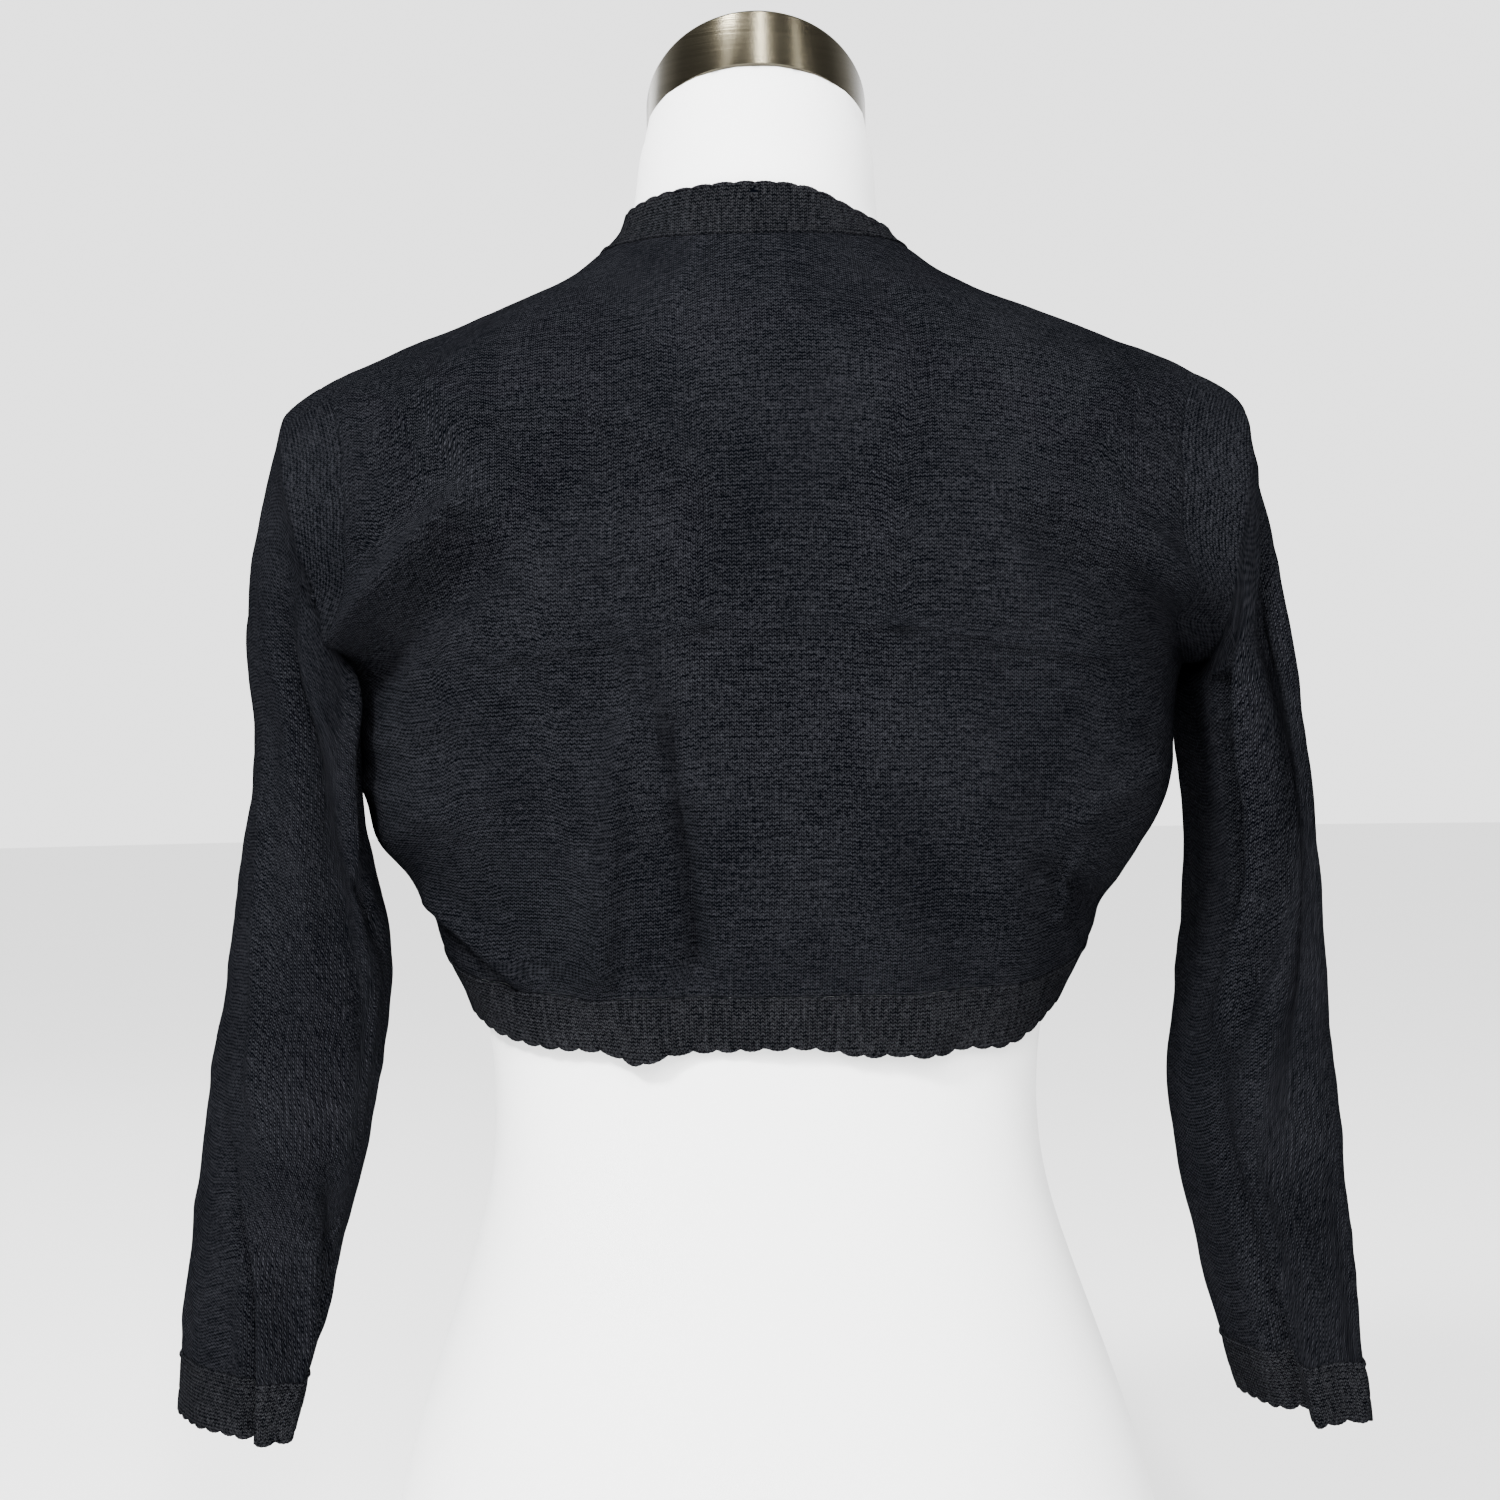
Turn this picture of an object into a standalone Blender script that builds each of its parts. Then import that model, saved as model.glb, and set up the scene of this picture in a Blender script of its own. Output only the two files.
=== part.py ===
# A cropped knitted shrug, worn by a limbless dress form that stands on its own flat base.
# Frame: +Z up, the back of the garment faces -Y, +X is the wearer's right, and the origin is
# the centre of the form's base. Sizes are in millimetres here and become metres in add_mesh.

import math
from collections import namedtuple

import bpy
import numpy as np

METRES = 0.001
FULL_TURN = 2.0 * math.pi

# Driving sizes of the cloth.
PANEL_THICKNESS = 1.6
BAND_THICKNESS = 2.2
SEAM_GAP = 0.3
BLUNT_TIP = 1.6
BAND_WIDTH = 23.5
CUFF_WIDTH = 25.0
SCALLOP_PITCH = 10.5
SCALLOP_DEPTH = 1.8
SCALLOP_STEPS = 4
SHOULDER_FADE = 45.0

# Landmarks of the cut, as heights above the base.
UNDERARM_HEIGHT = 497.0
SHOULDER_TIP_HEIGHT = 619.0
NECK_SIDE_HEIGHT = 674.5
SIDE_HEM_HEIGHT = 384.0
ARMHOLE_CENTRE = 560.0

# How quickly a panel's rows turn from level to the line of the shoulder.
TOP_HOLD = 4

# How finely a curve is followed before its length is shared out, and how much of it is averaged.
ARMHOLE_STEPS = 800
EDGE_STEPS = 1200
SEAM_STEPS = 900
SEAM_AVERAGE = 25

# The widest point of every section lies a little behind the middle.
SIDE_Y = -5.0
BODY_POWER = 0.89
NECK_POWER = 1.0
NECK_POWER_FROM = 630.0
NECK_POWER_TO = 690.0

# How many cells each piece is divided into.
NECK_COLUMNS = 5
SHOULDER_COLUMNS = 8
SIDE_ROWS = 8
ARMHOLE_ROWS = 17
SLEEVE_ROWS = 18
FORM_COLUMNS = 34
CAP_COLUMNS = 48

# Sections of the dress form: half width, and how far the back and the front reach.
Section = namedtuple("Section", "height half_width back front")
FORM_SECTIONS = [
    Section(0, 160.5, -104, 92),
    Section(15, 165.5, -109, 95),
    Section(60, 170.5, -114, 98),
    Section(100, 171.5, -115.5, 99),
    Section(142, 162.6, -112, 97),
    Section(185, 150.7, -103, 92),
    Section(228, 135.6, -93, 86),
    Section(271, 120.5, -84, 81),
    Section(301, 115.6, -79, 79),
    Section(335, 115.7, -77.5, 80),
    Section(350, 118, -78, 83),
    Section(370, 122, -80, 87),
    Section(400, 129, -85, 93),
    Section(430, 136, -90, 98),
    Section(460, 142, -94, 101),
    Section(490, 146, -98, 101),
    Section(520, 151, -100, 98),
    Section(550, 160, -100, 90),
    Section(580, 171, -96, 77),
    Section(598.9, 177, -92, 67),
    Section(610, 178, -89, 61),
    Section(618.1, 173, -87, 57),
    Section(624.6, 163, -84.5, 54),
    Section(631.2, 150.5, -81.5, 51.5),
    Section(636.9, 138, -79, 50),
    Section(643.9, 121, -76, 48.5),
    Section(653.9, 96, -71, 46.5),
    Section(662.9, 76.5, -66.5, 45),
    Section(672.7, 63.3, -62.1, 43.5),
    Section(678.1, 57.8, -59.6, 43),
    Section(683.3, 54.3, -57.6, 42.5),
    Section(689.2, 52.6, -56.1, 42.5),
    Section(699.7, 51.6, -53.1, 43),
    Section(712, 50.6, -50.4, 44),
    Section(726, 47.5, -46.5, 45.5),
]

# Sections of the cloth's outer face where it is worn on the body.
CLOTH_SECTIONS = [
    Section(335, 119.5, -82, 88),
    Section(344, 120.7, -83.5, 90),
    Section(352, 123, -85.5, 92),
    Section(360, 126.4, -87.5, 95),
    Section(370, 131.1, -90, 98),
    Section(380, 136, -94, 101),
    Section(390, 140.5, -97.5, 103.5),
    Section(400, 145, -100.5, 106),
    Section(410, 150.4, -103, 108),
    Section(420, 156.8, -104.5, 109.5),
    Section(430, 163.5, -105.5, 110.5),
    Section(440, 168, -106, 111),
    Section(450, 171, -106.3, 111.5),
    Section(462, 172.5, -106.5, 112),
    Section(475, 173, -107, 111.5),
    Section(488, 174.5, -107, 110.5),
    Section(500, 178.5, -107.3, 109),
    Section(512, 187, -107.3, 107),
    Section(525, 199, -107, 104),
    Section(540, 209.5, -106.5, 100),
    Section(555, 214, -105, 94.5),
    Section(570, 214.5, -103, 88),
    Section(585, 212.5, -100.5, 81),
    Section(599.8, 208, -97, 73.5),
    Section(608.1, 203, -94.8, 69),
    Section(613.7, 196, -93, 66),
    Section(619.2, 186.5, -91, 63.5),
    Section(624.9, 175.5, -89, 61),
    Section(630.5, 161.5, -86.5, 58.5),
    Section(636.2, 147.5, -84, 56.5),
    Section(643.2, 130, -81, 54.5),
    Section(653.2, 105, -75.5, 52),
    Section(662.2, 85, -70.8, 50),
    Section(672, 70.5, -66, 48),
    Section(677.4, 63.5, -63.3, 47.3),
    Section(683.3, 58.6, -61, 46.8),
    Section(689.2, 56.3, -59.3, 46.6),
    Section(696.5, 55.2, -57.2, 46.8),
    Section(706, 54.5, -55, 47.3),
]

# How far the middle of the form and of the cloth drifts to the side, against the height.
Drift = namedtuple("Drift", "height shift")
DRIFTS = [
    Drift(0, -1.0),
    Drift(100, -1.2),
    Drift(160, -1.9),
    Drift(220, -2.5),
    Drift(280, -2.9),
    Drift(335, -3.1),
    Drift(375, -2.0),
    Drift(410, -0.4),
    Drift(460, 0.0),
    Drift(560, 0.0),
    Drift(625, -1.0),
    Drift(665, -1.9),
    Drift(690, -1.5),
    Drift(710, -0.4),
    Drift(726, 0.0),
]

# The bust of the form, and the cloth over it.
Bust = namedtuple("Bust", "apart height spread_x spread_z lift")
FORM_BUST = Bust(70, 462, 40, 44, 21)
CLOTH_BUST = Bust(72, 464, 46, 50, 17)

# Heights of the seam between the back panel and its bands, against the angle from the centre back.
EdgeHeight = namedtuple("EdgeHeight", "angle height")
BACK_NECK_SEAM = [
    EdgeHeight(0, 674),
    EdgeHeight(30, 674.6),
    EdgeHeight(60, 675.2),
    EdgeHeight(90, NECK_SIDE_HEIGHT),
]
BACK_HEM_SEAM = [
    EdgeHeight(0, 365.5),
    EdgeHeight(30, 366.2),
    EdgeHeight(55, 369.3),
    EdgeHeight(75, 376.4),
    EdgeHeight(90, SIDE_HEM_HEIGHT),
]

# The front edge's seam, from the side of the body up to the side of the neck.
EdgeX = namedtuple("EdgeX", "height x")
FRONT_SEAM = [
    EdgeX(SIDE_HEM_HEIGHT, 137.8),
    EdgeX(387.5, 129),
    EdgeX(392, 116),
    EdgeX(398, 101),
    EdgeX(407, 86),
    EdgeX(420, 73),
    EdgeX(437, 62.5),
    EdgeX(460, 56),
    EdgeX(490, 53),
    EdgeX(530, 52),
    EdgeX(570, 52),
    EdgeX(605, 53),
    EdgeX(635, 56),
    EdgeX(650, 59.5),
    EdgeX(661, 63.2),
    EdgeX(669, 66),
    EdgeX(NECK_SIDE_HEIGHT, 67.2),
]

# The armhole seam: how far out it lies on the back and on the front at each height.
Armhole = namedtuple("Armhole", "height back_x front_x")
ARMHOLE = [
    Armhole(UNDERARM_HEIGHT, 177.5, 177.5),
    Armhole(500, 175.6, 175),
    Armhole(505, 173.3, 171.5),
    Armhole(512, 171.3, 168),
    Armhole(525, 169.6, 164),
    Armhole(545, 168.6, 161.5),
    Armhole(570, 168.8, 161.5),
    Armhole(595, 171.5, 166),
    Armhole(610, 176.5, 173),
    Armhole(618, 181.8, 180.3),
    Armhole(SHOULDER_TIP_HEIGHT, 186.5, 186.5),
]

# Soft ridges (lift above 0) and troughs (below 0) that the cloth takes on the body.
Fold = namedtuple("Fold", "face x_from z_from x_to z_to width lift")
BODY_FOLDS = [
    Fold("back", -52, 508, -38, 452, 9, 2.6),
    Fold("back", -56, 466, -70, 374, 10, 3.0),
    Fold("back", -35, 432, -31, 376, 8, -2.2),
    Fold("back", -174, 512, -122, 561, 10, 4.5),
    Fold("back", -160, 502, -116, 536, 10, -4.0),
    Fold("back", 166, 531, 112, 563, 10, 3.2),
    Fold("back", 160, 512, 116, 543, 9, -3.8),
    Fold("back", 116, 410, 134, 400, 7, -3.0),
    Fold("back", -152, 434, -107, 454, 12, 2.5),
    Fold("back", 40, 420, 52, 380, 12, 1.8),
    Fold("back", 84, 452, 98, 384, 13, 2.0),
    Fold("front", 84, 446, 96, 404, 11, 2.8),
    Fold("front", 118, 470, 128, 404, 12, -2.6),
    Fold("front", -88, 450, -94, 402, 12, 2.6),
    Fold("front", -122, 462, -126, 404, 11, -2.8),
    Fold("front", 158, 520, 112, 552, 10, 3.6),
    Fold("front", 154, 505, 110, 530, 10, -3.4),
    Fold("front", -160, 522, -110, 550, 10, 3.4),
    Fold("front", -152, 504, -106, 528, 10, -3.6),
]

# Where the loose edge of a band stands away from the form, or reaches further over it.
BandWave = namedtuple("BandWave", "part x width lift longer")
BAND_WAVES = [
    BandWave("hem", -88, 16, 1.2, 0.8),
    BandWave("hem", -49, 10, 5.5, 4.5),
    BandWave("hem", -22, 13, -1.2, 0.2),
    BandWave("hem", 8, 13, 1.5, -1.6),
    BandWave("hem", 38, 12, 2.0, 2.6),
    BandWave("hem", 62, 14, 4.5, 3.8),
    BandWave("hem", 95, 16, 1.5, 5.0),
    BandWave("neck", 0, 24, 0, 0.8),
    BandWave("neck", -66, 18, 0, -2.0),
    BandWave("neck", 59, 26, 0, -11.0),
]
HEM_WAVE_TOP = 371.0
HEM_WAVE_REACH = 28.0

# Sleeve stations from the armhole down: the outer and the inner line of the sleeve in the
# front view, how far its back and front reach, and how far the back lies to the outside.
Station = namedtuple("Station", "outer_x outer_z inner_x inner_z back front skew")
RIGHT_SLEEVE = [
    Station(194.1, 616, 183, 498.5, -69, 58, 0),
    Station(200, 608, 185.5, 497.5, -68, 60, 2),
    Station(202.5, 595, 186.3, 496, -67, 60, 4),
    Station(205.7, 577, 186.5, 494, -66, 60, 5),
    Station(209.5, 557, 186.5, 491.5, -65, 59, 6),
    Station(213.4, 535, 186.3, 488, -64, 58, 7),
    Station(217.7, 508, 186, 480, -63, 57, 8),
    Station(221.7, 475, 184.5, 459, -62, 56, 9),
    Station(224.9, 440, 184.8, 430, -61, 55, 10),
    Station(227.6, 402, 183.5, 397, -60, 53, 11),
    Station(230.7, 364, 178.9, 361, -58, 51, 12),
    Station(233, 328, 174.7, 326, -56, 49, 12),
    Station(236.8, 293, 175.9, 292, -53, 47, 12),
    Station(240.3, 260, 181.9, 261, -50, 45, 12),
    Station(242.9, 231, 187.7, 232, -48, 43, 12),
    Station(244.5, 206, 193.8, 206, -46, 41, 12),
    Station(247.3, 180, 202.4, 180, -45, 40, 12),
]
LEFT_SLEEVE = [
    Station(194.1, 616.5, 182.5, 498.5, -69, 58, 0),
    Station(201.9, 608, 184, 497.5, -68, 60, -2),
    Station(207.4, 594, 184.3, 496, -67, 60, -4),
    Station(213.1, 576, 184, 494, -66, 60, -6),
    Station(218.9, 557, 183.4, 491.5, -65, 59, -8),
    Station(224, 533, 181.7, 488, -64, 58, -10),
    Station(226.5, 505, 178.1, 480, -63, 57, -12),
    Station(225.2, 474, 172.6, 458, -62, 56, -14),
    Station(229.5, 436, 167.1, 430, -61, 55, -16),
    Station(234.8, 398, 159.1, 395, -60, 53, -17),
    Station(240.2, 362, 159.4, 360, -58, 51, -18),
    Station(247, 326, 165.1, 326, -56, 49, -19),
    Station(251.3, 292, 171.2, 294, -53, 47, -20),
    Station(256.4, 260, 180.3, 262, -50, 45, -20),
    Station(260, 231, 187.8, 232, -48, 43, -20),
    Station(262.5, 206, 194.9, 206, -46, 41, -20),
    Station(264.4, 180, 200.8, 180, -45, 40, -20),
]
FIRST_RING = 2.0
CUFF_SEAM_STATION = 16
CUFF_EDGE_STATION = 17
SLEEVE_POWER = 0.76

# Long troughs down the sleeves. Each row of a path is a station, the angle there (0 is the
# outer line, 90 the back, 180 the inner line, 270 the front) and the depth.
Trough = namedtuple("Trough", "width lean path")
PathPoint = namedtuple("PathPoint", "station angle depth")
RIGHT_TROUGHS = [
    Trough(12, 5.0, [
        PathPoint(2.0, 66, 0), PathPoint(4.0, 74, 5), PathPoint(6.0, 80, 6),
        PathPoint(8.0, 86, 6), PathPoint(9.5, 94, 6), PathPoint(11.0, 110, 6),
        PathPoint(13.0, 118, 0),
    ]),
    Trough(12, -4.0, [
        PathPoint(11.0, 104, 0), PathPoint(12.5, 112, 4), PathPoint(14.0, 122, 6),
        PathPoint(15.5, 124, 6), PathPoint(17.0, 126, 7),
    ]),
    Trough(19, 0.0, [
        PathPoint(12.0, 126, 0), PathPoint(13.5, 130, 4), PathPoint(15.5, 136, 4),
        PathPoint(17.0, 138, 4),
    ]),
    Trough(12, 0.0, [
        PathPoint(12.5, 192, 0), PathPoint(14.5, 190, 5), PathPoint(17.0, 180, 6),
    ]),
    Trough(12, -3.0, [
        PathPoint(6.5, 152, 0), PathPoint(7.8, 144, 5), PathPoint(9.0, 136, 5),
        PathPoint(10.5, 132, 0),
    ]),
    Trough(12, 0.0, [
        PathPoint(3.0, 276, 0), PathPoint(6.0, 282, 7), PathPoint(9.0, 288, 7),
        PathPoint(13.0, 300, 0),
    ]),
    Trough(12, 0.0, [
        PathPoint(9.0, 338, 0), PathPoint(12.0, 326, 6), PathPoint(17.0, 314, 7),
    ]),
    Trough(12, 0.0, [
        PathPoint(10.0, 240, 0), PathPoint(13.0, 246, 6), PathPoint(17.0, 250, 5),
    ]),
]
LEFT_TROUGHS = [
    Trough(12, 3.0, [
        PathPoint(3.5, 78, 0), PathPoint(5.5, 82, 6), PathPoint(8.0, 94, 6),
        PathPoint(9.5, 96, 6), PathPoint(11.0, 92, 6), PathPoint(13.0, 88, 0),
    ]),
    Trough(12, 0.0, [
        PathPoint(2.5, 142, 0), PathPoint(4.5, 146, 5), PathPoint(6.5, 150, 7),
        PathPoint(9.0, 150, 0),
    ]),
    Trough(12, 4.0, [
        PathPoint(11.0, 10, 0), PathPoint(12.5, 20, 5), PathPoint(14.0, 34, 7),
        PathPoint(15.5, 46, 7), PathPoint(17.0, 54, 7),
    ]),
    Trough(19, 0.0, [
        PathPoint(11.5, 20, 0), PathPoint(13.5, 28, 5), PathPoint(15.5, 38, 7),
        PathPoint(17.0, 42, 7),
    ]),
    Trough(12, -2.0, [
        PathPoint(12.5, 116, 0), PathPoint(14.5, 122, 5), PathPoint(17.0, 128, 4),
    ]),
    Trough(12, 0.0, [
        PathPoint(3.0, 268, 0), PathPoint(6.0, 262, 7), PathPoint(9.0, 258, 7),
        PathPoint(13.0, 262, 0),
    ]),
    Trough(12, 0.0, [
        PathPoint(9.0, 322, 0), PathPoint(12.0, 314, 6), PathPoint(17.0, 306, 7),
    ]),
    Trough(12, 0.0, [
        PathPoint(10.0, 218, 0), PathPoint(13.0, 222, 6), PathPoint(17.0, 228, 6),
    ]),
]

# The top of the neck is cut on a slope that falls to the front, and the cap follows it.
NECK_TILT_FROM = 690.0
NECK_TOP = 726.0
NECK_TOP_SLOPE = 0.44
CAP_RADIUS = 47.0
CAP_HEIGHT = 13.0
CAP_TOP_SLOPE = 0.64
CAP_CENTRE_Y = -0.5
CAP_GAP = 0.3
CAP_DOME = 3.0
CAP_ROUNDING = 1.2

# Heights of the form's rings.
FORM_RINGS = [
    0, 6, 22, 60, 100, 142, 185, 228, 271, 301, 335, 368, 400, 430, 460, 490, 520, 550,
    580, 600, 612, 621, 630, 640, 650, 661, 671, 680, 690, 702, 714, 726,
]

COLOURS = {
    "knit_black": (0.016, 0.018, 0.023, 0.62, 0.0),
    "jersey_white": (0.82, 0.82, 0.83, 0.80, 0.0),
    "brushed_metal": (0.52, 0.50, 0.46, 0.34, 1.0),
}


def smooth(rows, key, column, at):
    """Value of a column where the key column has the value at, on a smooth curve through the rows."""
    xs = np.array([getattr(row, key) for row in rows], float)
    ys = np.array([getattr(row, column) for row in rows], float)
    slopes = np.gradient(ys, xs)
    at = np.clip(np.asarray(at, float), xs[0], xs[-1])
    i = np.clip(np.searchsorted(xs, at) - 1, 0, len(xs) - 2)
    step = xs[i + 1] - xs[i]
    t = (at - xs[i]) / step
    low = ys[i] * (1 + 2 * t) * (1 - t) ** 2 + slopes[i] * step * t * (1 - t) ** 2
    high = ys[i + 1] * t * t * (3 - 2 * t) + slopes[i + 1] * step * t * t * (t - 1)
    return low + high


def ease(low, high, at):
    """0 below low, 1 above high, and a smooth step between them."""
    t = np.clip((at - low) / (high - low), 0, 1)
    return t * t * (3 - 2 * t)


def unit(vectors):
    """The vectors at length 1."""
    return vectors / np.maximum(np.linalg.norm(vectors, axis=-1, keepdims=True), 1e-9)


def section_power(height):
    """How square a section is: flatter on the body, round at the neck."""
    share = ease(NECK_POWER_FROM, NECK_POWER_TO, height)
    return BODY_POWER + (NECK_POWER - BODY_POWER) * share


def section_point(rows, bust, angle, height):
    """Point of a section. Angle 0 is the centre back, 90 degrees the right side, 180 the front."""
    half_width = smooth(rows, "height", "half_width", height)
    back = smooth(rows, "height", "back", height)
    front = smooth(rows, "height", "front", height)
    power = section_power(height)
    across, along = np.sin(angle), np.cos(angle)
    x = half_width * np.sign(across) * np.abs(across) ** power
    reach = np.where(along > 0, back - SIDE_Y, front - SIDE_Y)
    y = SIDE_Y + reach * np.abs(along) ** power
    sideways = (np.abs(x) - bust.apart) / bust.spread_x
    upward = (height - bust.height) / bust.spread_z
    swell = bust.lift * np.exp(-(sideways**2) - upward**2)
    y = y + np.where(along < 0, swell * np.abs(along) ** 0.5, 0)
    x = x + smooth(DRIFTS, "height", "shift", height)
    return np.stack(np.broadcast_arrays(x, y, height), axis=-1)


def cloth_point(angle, height):
    """Point of the cloth's outer face before its folds."""
    return section_point(CLOTH_SECTIONS, CLOTH_BUST, angle, np.asarray(height, float))


def cloth_slopes(angle, height):
    """How the cloth's point moves with the angle and with the height."""
    d_angle, d_height = 0.004, 0.4
    by_angle = cloth_point(angle + d_angle, height) - cloth_point(angle - d_angle, height)
    by_height = cloth_point(angle, height + d_height) - cloth_point(angle, height - d_height)
    return by_angle / (2 * d_angle), by_height / (2 * d_height)


def cloth_normal(angle, height):
    """Outward normal of the cloth."""
    by_angle, by_height = cloth_slopes(angle, height)
    return unit(np.cross(by_angle, by_height))


def angle_at_x(x, height, front):
    """Angle of the cloth's point at a distance x from the middle, on the back or the front."""
    share = np.clip(np.abs(x) / smooth(CLOTH_SECTIONS, "height", "half_width", height), 0, 1)
    angle = np.arcsin(share ** (1 / section_power(height)))
    return math.pi - angle if front else angle


def fold_lift(point, angle, height):
    """How far the folds lift the cloth at a point."""
    x, z = point[..., 0], point[..., 2]
    on_back = ease(-0.10, 0.25, np.cos(angle))
    on_front = ease(-0.10, 0.25, -np.cos(angle))
    total = np.zeros_like(x)
    for fold in BODY_FOLDS:
        run = np.array([fold.x_to - fold.x_from, fold.z_to - fold.z_from])
        length = np.hypot(*run)
        run = run / length
        away_x, away_z = x - fold.x_from, z - fold.z_from
        along = away_x * run[0] + away_z * run[1]
        across = away_x * run[1] - away_z * run[0]
        beyond = np.maximum(np.maximum(-along, along - length), 0)
        shape = np.exp(-((across / fold.width) ** 2) - (beyond / (1.6 * fold.width)) ** 2)
        face = on_back if fold.face == "back" else on_front
        total = total + fold.lift * shape * face
    loose = ease(0, HEM_WAVE_REACH, HEM_WAVE_TOP - height) * on_back
    for wave in BAND_WAVES:
        if wave.part == "hem":
            total = total + wave.lift * loose * np.exp(-(((x - wave.x) / wave.width) ** 2))
    return total


def cloth_surface(angle, height, lift=0.0):
    """Point of the folded cloth, lifted off its outer face by lift."""
    point = cloth_point(angle, height)
    rise = fold_lift(point, angle, height) + lift
    return point + cloth_normal(angle, height) * rise[..., None]


def walk(angle, height, direction, distance):
    """The angle and height reached by going a distance over the cloth in a direction."""
    steps = 4
    distance = np.broadcast_to(np.asarray(distance, float), np.shape(angle))
    for _ in range(steps):
        by_angle, by_height = cloth_slopes(angle, height)
        normal = unit(np.cross(by_angle, by_height))
        flat = unit(direction - normal * np.sum(direction * normal, -1, keepdims=True))
        move = flat * (distance / steps)[..., None]
        aa = np.sum(by_angle * by_angle, -1)
        ah = np.sum(by_angle * by_height, -1)
        hh = np.sum(by_height * by_height, -1)
        ma = np.sum(move * by_angle, -1)
        mh = np.sum(move * by_height, -1)
        scale = aa * hh - ah * ah
        angle = angle + (ma * hh - mh * ah) / scale
        height = height + (mh * aa - ma * ah) / scale
    return angle, height


def side_edge_angle(height, front):
    """Angle of a panel's side edge: the side seam, the armhole or the shoulder seam."""
    column = "front_x" if front else "back_x"
    armhole = angle_at_x(smooth(ARMHOLE, "height", column, height), height, front)
    in_armhole = (height > UNDERARM_HEIGHT) & (height < SHOULDER_TIP_HEIGHT)
    return np.where(in_armhole, armhole, math.pi / 2)


def armhole_heights():
    """Heights that step evenly along the armhole seam, from the underarm to the shoulder tip."""
    turn = np.linspace(math.pi, 0, ARMHOLE_STEPS)
    heights = UNDERARM_HEIGHT + (SHOULDER_TIP_HEIGHT - UNDERARM_HEIGHT) * (1 + np.cos(turn)) / 2
    lengths = np.zeros(len(heights))
    for front in (False, True):
        points = cloth_point(side_edge_angle(heights, front), heights)
        lengths[1:] += np.cumsum(np.linalg.norm(np.diff(points, axis=0), axis=-1))
    return np.interp(np.linspace(0, lengths[-1], ARMHOLE_ROWS + 1), lengths, heights)


def side_edge(front):
    """Angles and heights up a panel's side edge: the side seam, then the armhole."""
    side_share = np.linspace(0, 1, SIDE_ROWS + 1)[:-1]
    side = SIDE_HEM_HEIGHT + (UNDERARM_HEIGHT - SIDE_HEM_HEIGHT) * side_share
    height = np.concatenate([side, armhole_heights()])
    return side_edge_angle(height, front), height


def ruled(inner, edge, bottom, top):
    """A grid between an inner line and a side edge that also meets a bottom and a top line.

    Every line is a pair of angles and heights. Columns run from the inner line to the edge."""
    grids = []
    rows, columns = len(edge[0]), len(top[0])
    up = np.linspace(0, 1, rows)[:, None]
    out = np.linspace(0, 1, columns)[None, :]
    for line_in, line_edge, line_bottom, line_top in zip(inner, edge, bottom, top):
        plain = line_in[:, None] * (1 - out) + line_edge[:, None] * out
        bottom_miss = line_bottom[None, :] - plain[:1]
        top_miss = line_top[None, :] - plain[-1:]
        grids.append(plain + bottom_miss * (1 - up) ** 2 + top_miss * up**TOP_HOLD)
    return grids


def back_panel_grid():
    """Angles and heights of the back panel's points, rows from the hem up to the shoulders."""
    edge = side_edge(False)
    rows, columns = len(edge[0]), NECK_COLUMNS + SHOULDER_COLUMNS + 1
    out = np.linspace(0, math.pi / 2, columns)
    hem = smooth(BACK_HEM_SEAM, "angle", "height", np.degrees(out))
    round_neck = np.linspace(0, math.pi / 2, NECK_COLUMNS + 1)
    neck = smooth(BACK_NECK_SEAM, "angle", "height", np.degrees(round_neck))
    shoulder = np.linspace(NECK_SIDE_HEIGHT, SHOULDER_TIP_HEIGHT, SHOULDER_COLUMNS + 1)[1:]
    top = (np.append(round_neck, np.full(SHOULDER_COLUMNS, math.pi / 2)), np.append(neck, shoulder))
    middle = (np.zeros(rows), np.linspace(hem[0], neck[0], rows))
    angle, height = ruled(middle, edge, (out, hem), top)
    return (
        np.concatenate([-angle[:, :0:-1], angle], axis=1),
        np.concatenate([height[:, :0:-1], height], axis=1),
    )


def front_edge_angle(height):
    """Angle of the seam along the front edge."""
    return angle_at_x(smooth(FRONT_SEAM, "height", "x", height), height, True)


def front_edge_lengths():
    """Places of the front panel's rows along its front seam, and the seam's points, going up."""
    heights = np.linspace(SIDE_HEM_HEIGHT, NECK_SIDE_HEIGHT, EDGE_STEPS)
    points = cloth_point(front_edge_angle(heights), heights)
    lengths = np.concatenate([[0], np.cumsum(np.linalg.norm(np.diff(points, axis=0), axis=-1))])
    rows = SIDE_ROWS + ARMHOLE_ROWS + 1
    return np.linspace(BLUNT_TIP, lengths[-1] - BLUNT_TIP, rows), lengths, heights


def front_panel_grid(sign):
    """Angles and heights of a front panel, rows from the hem up, columns from its front edge out."""
    side_angle, side_height = side_edge(True)
    side_height[0] += BLUNT_TIP
    at, lengths, heights = front_edge_lengths()
    edge_height = np.interp(at, lengths, heights)
    edge_angle = front_edge_angle(edge_height)
    share = np.linspace(0, 1, SHOULDER_COLUMNS + 1)
    bottom = tuple(line[0][0] + (line[1][0] - line[0][0]) * share for line in (
        (edge_angle, side_angle), (edge_height, side_height)))
    shoulder = np.linspace(edge_height[-1], SHOULDER_TIP_HEIGHT, SHOULDER_COLUMNS + 1)
    top = (np.append(edge_angle[-1], np.full(SHOULDER_COLUMNS, math.pi / 2)), shoulder)
    angle, height = ruled((edge_angle, edge_height), (side_angle, side_height), bottom, top)
    return sign * angle, height


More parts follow.
